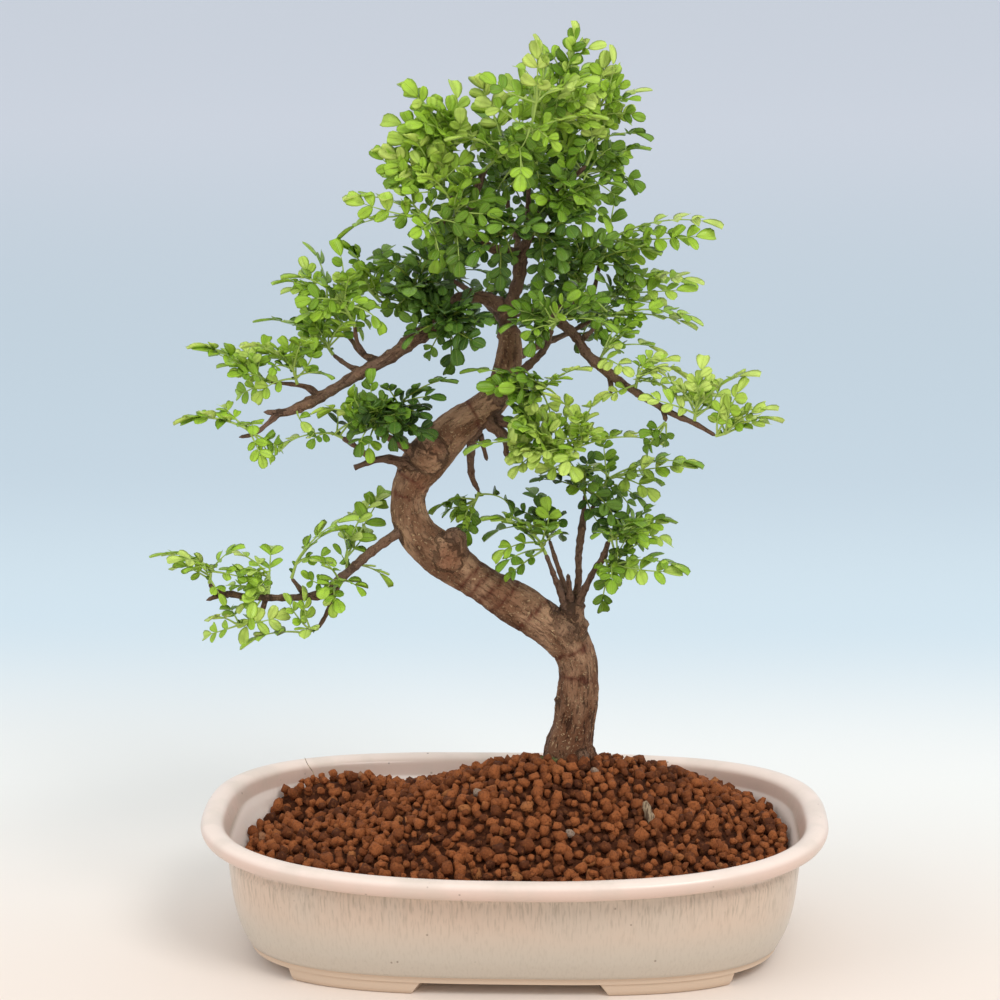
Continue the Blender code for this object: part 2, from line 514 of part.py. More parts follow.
def soil_top(draw):
    """Flat places and heights of the granules' relief: a peak with six valleys round it."""
    edge_inset = POT_INSIDE[2][0] + TOUCH_GAP
    places = []
    row_pitch = GRAIN_PITCH * math.sqrt(3) / 2
    rows = int(POT_DEPTH / 2 / row_pitch) + 1
    columns = int(POT_WIDTH / 2 / GRAIN_PITCH) + rows
    for j in range(-rows, rows + 1):
        for i in range(-columns, columns + 1):
            wobble_x, wobble_y, lift = draw.uniform(-1, 1), draw.uniform(-1, 1), draw.random()
            x = (i + j / 2) * GRAIN_PITCH + GRAIN_WANDER * wobble_x
            y = j * row_pitch + GRAIN_WANDER * wobble_y
            to_trunk = math.hypot(x - TRUNK_FOOT[0], y - TRUNK_FOOT[1])
            if inside_share(x, y, edge_inset + GRAIN_TO_WALL) > 1 or to_trunk < HOLE_RADIUS + GRAIN_TO_HOLE:
                continue
            peak = (i - j) % 3 == 0
            least, extra = GRAIN_PEAK if peak else GRAIN_VALLEY
            relief = least + extra * lift
            places.append((x, y, mound(x, y) + (relief if peak else -relief)))
    return places


def build_soil(finish):
    """The filling: crumbly on top, with a plain hole for the trunk, and clear of pot and screens."""
    draw = random.Random(SOIL_SEED)
    turns = [360.0 * i / OUTLINE_SIDES for i in range(OUTLINE_SIDES)]
    edge = []
    for turn in turns:
        height = mound(*outline(POT_INSIDE[2][0], turn)) + draw.uniform(*EDGE_ROUGHNESS)
        edge.append(on_inner_wall(turn, height))
    hole = circle(*TRUNK_FOOT, HOLE_RADIUS, HOLE_SIDES)
    grains = soil_top(draw)
    flat = [p.xy for p in edge] + [Vector(p) for p in hole] + [Vector(p[:2]) for p in grains]
    heights = [p.z for p in edge]
    heights += [mound(x, y) - HOLE_DIP for x, y in hole]
    heights += [p[2] for p in grains]
    count, holes = OUTLINE_SIDES, HOLE_SIDES
    edges = [(i, (i + 1) % count) for i in range(count)]
    edges += [(count + i, count + (i + 1) % holes) for i in range(holes)]
    coords, _, triangles, origin, _, _ = delaunay_2d_cdt(flat, edges, [], 1, 1e-6)
    verts = [at(c[0], c[1], heights[o[0]]) for c, o in zip(coords, origin)]
    index = {o[0]: i for i, o in enumerate(origin)}
    faces = []
    for face in triangles:
        middle = sum((coords[i] for i in face), Vector((0, 0))) / 3
        if (middle - Vector(TRUNK_FOOT)).length > HOLE_RADIUS * HOLE_INSIDE:
            faces.append(tuple(face))
    above = [index[i] for i in range(count)]
    bend = POT_INSIDE[2][1]
    walls = [[at(*on_inner_wall(turn, min(bend, p.z - EDGE_DEPTH))) for turn, p in zip(turns, edge)]]
    walls += [ring(inset + TOUCH_GAP, z + TOUCH_GAP) for inset, z in POT_INSIDE[3:]]
    for level in walls:
        below = list(range(len(verts), len(verts) + count))
        verts += level
        for i in range(count):
            j = (i + 1) % count
            faces.append((above[i], above[j], below[j], below[i]))
        above = below
    faces.append(tuple(above))
    top = [index[count + i] for i in range(holes)]
    floor = list(range(len(verts), len(verts) + holes))
    verts += [at(x, y, STUMP_BOTTOM - TOUCH_GAP) for x, y in hole]
    for i in range(holes):
        j = (i + 1) % holes
        faces.append((top[i], top[j], floor[j], floor[i]))
    faces.append(tuple(floor))
    soil = add_object("soil", verts, faces, finish)
    size = SCREEN_SIZE + 2 * TOUCH_GAP
    room = FLOOR_TOP + 2 * TOUCH_GAP + SCREEN_THICKNESS
    cutters = [
        prism("room", square(x, 0, size), FLOOR_TOP - CUT_OVER, room)
        for x in (-DRAIN_OFFSET, DRAIN_OFFSET)
    ]
    first, second = Vector(DRY_TWIG[0]), Vector(DRY_TWIG[1])
    bottom = first + (first - second).normalized() * TOUCH_GAP
    above_soil = first + (second - first) * TWIG_HOLE_REACH
    radius = DRY_TWIG_RADIUS * TWIG_HOLE_FIT + TOUCH_GAP
    straight = [(*bottom, radius), (*above_soil, radius)]
    cutters.append(tube("twig_hole", TWIG_HOLE_SIDES, straight, WOOD_STEP))
    combine(soil, cutters, "DIFFERENCE")
    return soil


def curve_points(points, step):
    """Points on a smooth curve through (x, y, z, radius) rows, about a step apart."""
    rows = [Vector(p) for p in points]
    if len(rows) == 2:
        return rows
    rows = [rows[0] * 2 - rows[1]] + rows + [rows[-1] * 2 - rows[-2]]
    found = []
    for k in range(1, len(rows) - 2):
        a, b, c, d = rows[k - 1:k + 3]
        parts = max(1, round((c.to_3d() - b.to_3d()).length / step))
        for i in range(parts):
            t = i / parts
            found.append(0.5 * (
                2 * b + (c - a) * t + (2 * a - 5 * b + 4 * c - d) * t * t
                + (3 * b - a - 3 * c + d) * t * t * t
            ))
    found.append(rows[-2])
    return found


def tube(name, sides, points, step, finish=None):
    """A closed tube along a smooth curve, with its rings turned as little as possible."""
    rows = curve_points(points, step)
    centres = [row.to_3d() for row in rows]
    rings = []
    side = None
    for k, row in enumerate(rows):
        along = (centres[min(k + 1, len(rows) - 1)] - centres[max(k - 1, 0)]).normalized()
        if side is None:
            side = along.orthogonal().normalized()
        side = (side - along * side.dot(along)).normalized()
        other = along.cross(side)
        turns = [2 * math.pi * i / sides for i in range(sides)]
        rings.append([
            at(*(centres[k] + row[3] * (math.cos(t) * side + math.sin(t) * other))) for t in turns
        ])
    return add_object(name, *loft(rings), finish)


def build_wood(finish):
    """The trunk and every woody branch and twig, fused into one solid."""
    tubes = {
        name: tube(name, sides, points, WOOD_STEP, finish)
        for name, (sides, points) in WOOD.items()
    }
    wood = tubes.pop("trunk")
    wood.name = "wood"
    combine(wood, list(tubes.values()), solver="MANIFOLD")
    wood.data.shade_smooth()
    wood.data.set_sharp_from_angle(angle=math.radians(SHARP_WOOD_EDGE))
    return wood


def along_path(points, share):
    """The place this share of the way along a chain of points."""
    lengths = [(b - a).length for a, b in zip(points, points[1:])]
    left = share * sum(lengths)
    for a, b, length in zip(points, points[1:], lengths):
        if left <= length:
            return a.lerp(b, left / length)
        left -= length
    return points[-1]


def leaf_outline(length):
    """Half of a compound leaf's outline as (way along the rib, way out from it), base to tip."""
    stalk = min(STALK, STALK_SHARE * length)
    pairs = max(1, round((length - stalk - END_LEAFLET) / PAIR_PITCH))
    pitch = (length - stalk - END_LEAFLET) / pairs
    reach = min(LEAFLET_LENGTH, LEAFLET_SHARE * length)
    half = [(0.0, RIB_HALF), (stalk, RIB_HALF)]
    for k in range(pairs):
        taper = 1.0 - PAIR_TAPER * abs((k + 0.5) / pairs - PAIR_LONGEST)
        half.append((stalk + (k + PAIR_LOW) * pitch, PAIR_LOW_REACH * reach * taper))
        half.append((stalk + (k + PAIR_HIGH) * pitch, reach * taper))
        half.append((stalk + (k + 1.0) * pitch, RIB_HALF))
    half.append((length - END_WIDEST * END_LEAFLET, END_WIDTH_SHARE * reach + END_WIDTH))
    return half


def leaf_triangles(count):
    """Triangles of one face of the blade: the stalk, the pairs from the base up, then the tip."""
    tip = 2 * count
    found = [(0, 1, count + 1), (0, count + 1, count)]
    for c in range(1, count - 2, 3):
        for start, turn in ((0, 1), (count, -1)):
            a, b, d, e = (start + c + i for i in range(4))
            found.append((a, b, d)[::turn])
            found.append((a, d, e)[::turn])
        found.append((c, c + 3, count + c + 3))
        found.append((c, count + c + 3, count + c))
    last = count - 2
    found.append((last, last + 1, tip))
    found.append((last, tip, count + last))
    found.append((count + last, tip, count + last + 1))
    return found


def blade(name, path, tip, roll_deg, finish, leave=None):
    """A compound leaf as one thin arched blade, cut to the rib between its pairs of leaflets.

    It starts at the last point of the path. Any points before that are its shoot, a square stem
    that sets off in the direction given.
    """
    base = path[-1]
    axis = tip - base
    length = axis.length
    axis.normalize()
    up = Vector((0, 0, 1)) - axis * axis.z
    if up.length < STEEP:
        up = Vector((0, -1, 0)) + axis * axis.y
    up.normalize()
    roll = math.radians(roll_deg)
    up = up * math.cos(roll) + axis.cross(up) * math.sin(roll)
    side = axis.cross(up)
    half = leaf_outline(length)
    count = len(half)
    flat = [(s, -w) for s, w in half] + half + [(length, 0.0)]
    size = len(flat)
    verts = []
    for lift in (BLADE_THICKNESS / 2, -BLADE_THICKNESS / 2):
        for s, w in flat:
            share = s / length
            rise = ARCH * length * 4 * share * (1 - share) + FOLD * (abs(w) - RIB_HALF) + lift
            verts.append(at(*(base + axis * s + side * w + up * max(rise, lift))))
    faces = leaf_triangles(count)
    faces += [tuple(i + size for i in face[::-1]) for face in faces]
    border = list(range(count)) + [size - 1] + list(range(2 * count - 1, count - 1, -1))
    for i, j in zip(border, border[1:]):
        faces.append((i, j, j + size))
        faces.append((i, j + size, i + size))
    ring_now = [0, count, count + size, size]
    across = side
    for k in range(len(path) - 2, -1, -1):
        along = (path[k + 1] - path[k - 1]).normalized() if k else leave
        across = (across - along * across.dot(along)).normalized()
        lift = across.cross(along)
        corners = [(-1, 1), (1, 1), (1, -1), (-1, -1)]
        ring_before = list(range(len(verts), len(verts) + 4))
        verts += [at(*(path[k] + SHOOT_HALF * (a * across + b * lift))) for a, b in corners]
        for i in range(4):
            j = (i + 1) % 4
            faces.append((ring_before[i], ring_before[j], ring_now[j], ring_now[i]))
        ring_now = ring_before
    faces.append(tuple(ring_now))
    return add_object(name, verts, faces, finish)


def leave_wood(root, toward):
    """Where a shoot starts, just off the nearest wood, and the direction that it sets off in."""
    nearest = None
    for _, points in WOOD.values():
        rows = curve_points(points, WOOD_STEP)
        for a, b in zip(rows, rows[1:]):
            start, line = a.to_3d(), (b - a).to_3d()
            share = min(1.0, max(0.0, (root - start).dot(line) / line.length_squared))
            away = (start + line * share - root).length
            if nearest is None or away < nearest[0] - TIE:
                at_end = b is rows[-1] and share > NEAR_END
                nearest = (away, a.lerp(b, share), line.normalized(), at_end)
    _, row, along, at_end = nearest
    place = row.to_3d()
    if at_end:
        return place + along * TOUCH_GAP, along
    lead = toward - place
    lead = (lead - along * lead.dot(along)).normalized()
    return place + lead * (row[3] + TOUCH_GAP), lead


def build_spray(name, row, finish):
    """A green shoot that starts just off the wood, with its compound leaves fused on."""
    root, points, fronds = row
    start, lead = leave_wood(Vector(root), Vector(points[0]))
    path = [start] + [Vector(p) for p in points]
    (tip, roll), *others = fronds
    shoot = blade(name, path, Vector(tip), roll, finish, lead)
    leaves = [
        blade(name + "_leaf", [along_path(path, share)], Vector(tip), roll, finish)
        for share, tip, roll in others
    ]
    return combine(shoot, leaves, solver="MANIFOLD") if leaves else shoot


def main():
    """Builds every piece of the bonsai."""
    clear_scene()
    glaze = material("cream_glaze", (0.80, 0.72, 0.65), 0.35)
    earth = material("red_brown_granules", (0.20, 0.08, 0.04), 0.95)
    bark = material("grey_brown_bark", (0.25, 0.17, 0.12), 0.85)
    dry = material("dry_twig", (0.50, 0.40, 0.26), 0.9)
    netting = material("drain_netting", (0.05, 0.05, 0.05), 0.6)
    young = material("young_leaves", (0.32, 0.55, 0.06), 0.5)
    old = material("old_leaves", (0.08, 0.26, 0.05), 0.4)
    build_pot(glaze)
    build_screen("drain_screen_left", -DRAIN_OFFSET, netting)
    build_screen("drain_screen_right", DRAIN_OFFSET, netting)
    build_soil(earth)
    build_wood(bark)
    rows = [(*p, DRY_TWIG_RADIUS * (1.1 - 0.1 * i)) for i, p in enumerate(DRY_TWIG)]
    tube("dry_twig", DRY_TWIG_SIDES, rows, DRY_TWIG_STEP, dry)
    inner = ("root", "inner", "knot", "heart", "fork", "collar_b", "collar_d", "back")
    for name, row in SPRAYS.items():
        build_spray(name, row, old if any(word in name for word in inner) else young)


main()
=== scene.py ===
"""Looks of the potted japanese pepper bonsai: glaze, granules, bark and fine compound leaves.

Every table is in millimetres from the middle of the pot, level with its base ring, as in the part's
source: +X to the right, +Y away from the front and +Z up. at() turns a place into metres of the frame.
"""

from __future__ import annotations

import json
import logging
import math
import random
from collections.abc import Iterable, Sequence
from dataclasses import dataclass, field
from enum import Enum

import bmesh
import bpy
from mathutils import Matrix, Vector, noise
from mathutils.kdtree import KDTree

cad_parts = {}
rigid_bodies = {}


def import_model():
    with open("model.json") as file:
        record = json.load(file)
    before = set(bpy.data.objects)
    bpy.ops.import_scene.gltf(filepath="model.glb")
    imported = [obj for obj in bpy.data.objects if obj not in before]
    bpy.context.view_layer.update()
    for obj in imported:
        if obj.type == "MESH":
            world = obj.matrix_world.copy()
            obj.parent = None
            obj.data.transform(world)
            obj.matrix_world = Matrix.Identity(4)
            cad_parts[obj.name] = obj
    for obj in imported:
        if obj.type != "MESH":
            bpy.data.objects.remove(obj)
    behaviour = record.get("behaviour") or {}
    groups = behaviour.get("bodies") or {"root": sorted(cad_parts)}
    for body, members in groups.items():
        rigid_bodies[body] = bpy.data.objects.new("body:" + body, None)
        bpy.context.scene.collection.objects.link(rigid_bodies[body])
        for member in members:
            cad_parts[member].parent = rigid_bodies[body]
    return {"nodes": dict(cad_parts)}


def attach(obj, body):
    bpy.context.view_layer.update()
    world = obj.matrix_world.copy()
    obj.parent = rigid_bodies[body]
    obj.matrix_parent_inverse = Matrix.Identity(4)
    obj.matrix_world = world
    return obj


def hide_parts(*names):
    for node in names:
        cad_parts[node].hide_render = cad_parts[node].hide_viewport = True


LOG = logging.getLogger("bonsai")

MM = 0.001
# The pot's middle lies right of the frame's origin, and its feet lift the base ring off the ground.
POT_SHIFT, POT_LIFT = 6.8, 2.5
POT_WIDTH, POT_DEPTH = 210.0, 144.6
# How square the oval is, as the power of a superellipse: 2 is a true ellipse.
WALL_POWER, RIM_POWER = 3.1, 2.65
# Heights between which the wall's plan goes over to the rim's, outside and inside.
OUTER_CHANGE, INNER_CHANGE = (31.5, 34.5), (31.5, 39.5)
# How far the rim climbs towards the pot's two ends.
RIM_RISE = 2.8
DRAIN_OFFSET = 38.0
# Sides of a branch's skin by the sides of its tube in the part; thinner ones get TWIG_SIDES.
SKIN_SIDES, TWIG_SIDES = {7: 22, 6: 18}, 12
BODY = "root"

Number = float | int
Row = tuple[Number, ...]
Color = tuple[float, float, float]
Faces = list[tuple[int, ...]]
Socket = bpy.types.NodeSocket
Piece = bpy.types.Object
Material = bpy.types.Material

logging.basicConfig(level=logging.INFO, format="%(message)s")
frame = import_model()

# Wood: sides of the part's tube, then the centre line as (x, y, z, radius).
WOOD: dict[str, tuple[int, list[Row]]] = {
    "trunk": (11, [
        (18, 20, 38, 8.4), (18, 20, 48, 8.8), (18, 20, 55, 8.9), (18, 19.5, 60, 7.7), (19.5, 19, 67, 6.9),
        (20.5, 18, 75, 7.1), (21, 17, 83, 7), (20.5, 17, 90, 7), (17.5, 16, 97, 7.4),
        (11, 15, 103, 7.1), (3, 15, 108.5, 7.6), (-4, 14, 113, 7.2), (-10, 13, 117, 6.5),
        (-17, 13, 121.5, 6.6), (-25, 12, 128, 7.4), (-32, 12, 134, 6.5), (-35.5, 12, 141, 6),
        (-36, 13, 148, 5.9), (-34, 13, 154, 6.5), (-30, 13, 160, 7.4), (-24, 13, 167, 6.8),
        (-18, 13, 172.5, 6.1), (-11, 14, 177, 5.5), (-5.5, 14, 183, 4.7), (-3, 14, 191, 4.6),
        (-2, 13, 200, 3.9), (-3, 13, 207, 2.9),
    ]),
    "upper_trunk": (7, [
        (-2, 13, 200, 3), (-3, 13, 208, 2.8), (-1, 12, 215, 2.3), (1, 11, 222, 2.3), (1.5, 11, 229, 2.4),
        (4, 10, 235, 1.9), (6, 9, 241, 1.6), (11, 9, 247, 1.4), (23, 8, 259, 0.9),
    ]),
    "cut_knob": (6, [(-22, 12, 124, 4.6), (-20.5, 10, 132, 4), (-21, 8.5, 137, 2.6)]),
    "bend_knob": (6, [(18, 17, 100, 5), (19, 15, 107, 4), (19, 14.5, 112, 3.4)]),
    "low_branch": (6, [
        (-35, 12, 138, 2.6), (-40.5, 9, 135, 2), (-48, 6, 130, 1.9), (-54, 4, 125, 1.8),
        (-59, 1.5, 121, 1.9), (-63, -1, 117.5, 2.1), (-69, -4, 117, 1.6), (-77, -6, 117, 1.5),
        (-88, -9, 118, 1.5), (-95, -11, 119.5, 1.4), (-101, -14, 118, 0.9),
    ]),
    "low_fork": (4, [(-94, -11, 119, 1.2), (-98, -13, 121, 1.1), (-100, -14, 124, 0.9)]),
    "low_sub": (4, [(-59, 1, 120, 1.4), (-62, -4, 112, 1.1), (-65, -8, 107, 0.9)]),
    "low_spur": (4, [(-69, -4, 117, 1.2), (-74, -4, 123.5, 0.8)]),
    "low_nub": (4, [(-82, -7.5, 117.5, 1.2), (-84, -9, 112, 0.9), (-89, -10, 108.5, 0.7)]),
    "left_stub": (5, [(-35, 11, 158, 2.4), (-41, 8, 161, 1.9), (-46, 5, 161.5, 1.5), (-53, 2, 159.5, 1.2)]),
    "left_spur": (4, [(-47, 4.5, 161.5, 1.2), (-52, 3, 166, 1.1), (-57, 0.5, 170, 1.3)]),
    "left_cut": (5, [(-28, 9, 161, 2.8), (-36, 4, 166, 2.1), (-41, 1, 169.5, 1.7), (-45.5, -3, 173, 1.4)]),
    "left_knot": (5, [(-26, 9, 163, 3.6), (-29.5, 4, 168, 2.9), (-32, 2, 171, 1.4), (-36.5, -1, 174, 1)]),
    "upper_left": (6, [
        (-2, 13, 210, 2.4), (-9, 13, 214, 2.4), (-16, 12, 215, 2.5), (-22.5, 9, 211, 2.7),
        (-28, 7, 205, 2.6), (-34, 5, 201.5, 2.6), (-39.5, 2, 197.5, 2.4), (-46, 0, 194, 2.3),
        (-52, -2, 191, 2.2), (-59, -5, 187, 2), (-66, -8, 183.5, 2.2), (-74, -11, 180.5, 1.8),
        (-81, -14, 181, 1.1),
    ]),
    "upper_left_tail": (4, [
        (-76, -12, 180.5, 1.3), (-80, -14, 177, 1), (-84, -15, 174, 0.9), (-89, -16, 173, 0.8)]),
    "upper_left_a": (4, [
        (-64, -7, 185, 1.6), (-67, -6, 187.5, 1.3), (-72, -5, 188.5, 1), (-80, -4, 189, 0.8)]),
    "upper_left_b": (4, [(-50, -1.5, 192, 1.5), (-55, 1, 194, 1.1), (-60, 4, 197, 0.9)]),
    "upper_left_c": (4, [(-44, 1, 195, 1.7), (-50, 4, 197, 1.4), (-54, 8, 201, 1.1), (-58, 10, 206, 0.8)]),
    "upper_left_d": (4, [(-49.5, 4, 197, 1.1), (-51.5, -1, 202, 1), (-52, -5, 208, 0.8)]),
    "upper_left_e": (5, [
        (-21, 10, 212, 2), (-27, 10, 213.5, 1.7), (-35, 12, 211, 1.4), (-45, 14, 213, 0.8)]),
    "right_branch": (6, [
        (-2, 13, 211, 2.6), (5, 11, 211, 2.1), (11, 8, 210, 2), (16, 5.5, 206.5, 2), (20, 3, 203, 1.9),
        (23.5, 0, 198, 2), (28, -3, 194.5, 2.1), (33, -6, 191, 1.8), (39, -9, 187.5, 1.6),
        (45, -12, 184.5, 1.5), (51, -15, 181.5, 1.4), (58, -18.5, 179, 1.2), (65, -22, 175.5, 0.9),
    ]),
    "right_nub_a": (4, [(31, -5, 192, 1.3), (31.5, -6, 186, 0.8)]),
    "right_nub_b": (4, [(48, -13.5, 183, 1.1), (49, -16, 179, 0.8)]),
    "right_spur": (4, [(21, 2, 202, 1.3), (25, 6, 205, 1), (29, 10, 209, 0.9)]),
    "far_right": (5, [
        (0, 13, 213, 2), (7, 16, 210.5, 1.5), (13, 18, 210.5, 1.3), (19, 20, 212, 1.2),
        (25, 22, 214, 1.1), (31, 24, 213, 0.8),
    ]),
    "far_right_up": (4, [(24, 21.6, 213.6, 1), (26, 22, 218, 1), (28, 24, 228, 0.8)]),
    "mid_right_a": (5, [(-3, 13, 186, 2.2), (5, 7, 194, 1.7), (10, 3, 200, 1.4), (12, -2, 207, 1)]),
    "mid_right_b": (4, [(-6, 13, 174, 1.9), (0, 5, 173, 1.5), (4, 1, 178, 1.2), (7, -2, 183, 0.9)]),
    "mid_right_c": (5, [
        (-10, 13, 174, 2.4), (-2, 7, 168, 1.9), (5, 1, 166, 1.6), (10, -3, 166, 1.4), (17, -6, 166.5, 1)]),
    "mid_right_d": (4, [(-3, 7.5, 169, 1.3), (-3, 3, 163, 1.1)]),
    "hanging_a": (5, [
        (-13, 14, 172, 2.2), (-15, 16, 164, 1.9), (-15, 18, 154, 1.5), (-12.5, 20, 147.5, 0.9)]),
    "hanging_b": (4, [(-12, 16, 168, 1.3), (-10, 22, 158, 0.8)]),
    "crown_left": (5, [
        (1, 11, 229, 2.2), (-5, 9, 230.5, 2), (-11, 4, 234, 1.8), (-16, 0, 239, 1.6), (-21, -4, 241.5, 1.3),
        (-26, -6, 242, 0.9),
    ]),
    "crown_cut": (5, [(-14.5, 1, 237.5, 1.5), (-14.5, 1, 245, 1.7), (-10, 2, 258, 1.5)]),
    "crown_left_up": (4, [(-18, -2, 240, 1.2), (-21, 2, 249, 1.1), (-20, 4, 259, 0.8)]),
    "crown_up": (4, [(3, 11, 232, 1.5), (4, 8, 245, 1.3), (4, 5, 256, 0.9)]),
    "crown_back": (5, [(1, 11, 226, 2), (0, 22, 233, 1.6), (-3, 31, 241, 1.2), (-4, 37, 249, 0.8)]),
    "crown_back_b": (4, [(0, 22, 233, 1.2), (9, 28, 240, 1.1), (16, 32, 250, 0.8)]),
    "back_left": (5, [(-2, 13, 203, 2.2), (-7, 25, 208, 1.7), (-15, 34, 213, 1.4), (-25, 40, 218, 0.9)]),
    "back_right": (5, [(-2, 14, 194, 2.2), (6, 26, 196, 1.7), (16, 35, 199, 1.3), (25, 41, 203, 0.9)]),
    "collar_a": (4, [(17.5, 14, 109, 1.9), (14, 11, 118, 1.4), (12, 8.5, 124, 1.2), (10, 6, 130, 0.9)]),
    "collar_b": (4, [(18, 15.5, 110, 1.8), (15.5, 18, 118, 1.2), (13, 20, 125, 1.1), (11, 22, 131, 0.8)]),
    "collar_c": (4, [(18.5, 13.5, 111, 1.6), (17.5, 8, 122.5, 1)]),
    "collar_d": (5, [
        (19.5, 15, 110, 2), (21, 16.5, 118, 1.5), (21, 16.5, 127, 1.5), (22, 17, 136, 1.7),
        (22.5, 18, 141, 1.2), (23, 18, 148, 0.9),
    ]),
    "collar_e": (4, [(22, 17.5, 138, 1.2), (26, 21, 143, 1), (29, 25, 149, 0.8)]),
    "collar_f": (4, [
        (20.5, 14, 110, 1.8), (23, 11.5, 116, 1.6), (26, 9, 123, 1.4), (29, 7, 128, 1.6), (31, 4, 135, 1)]),
}

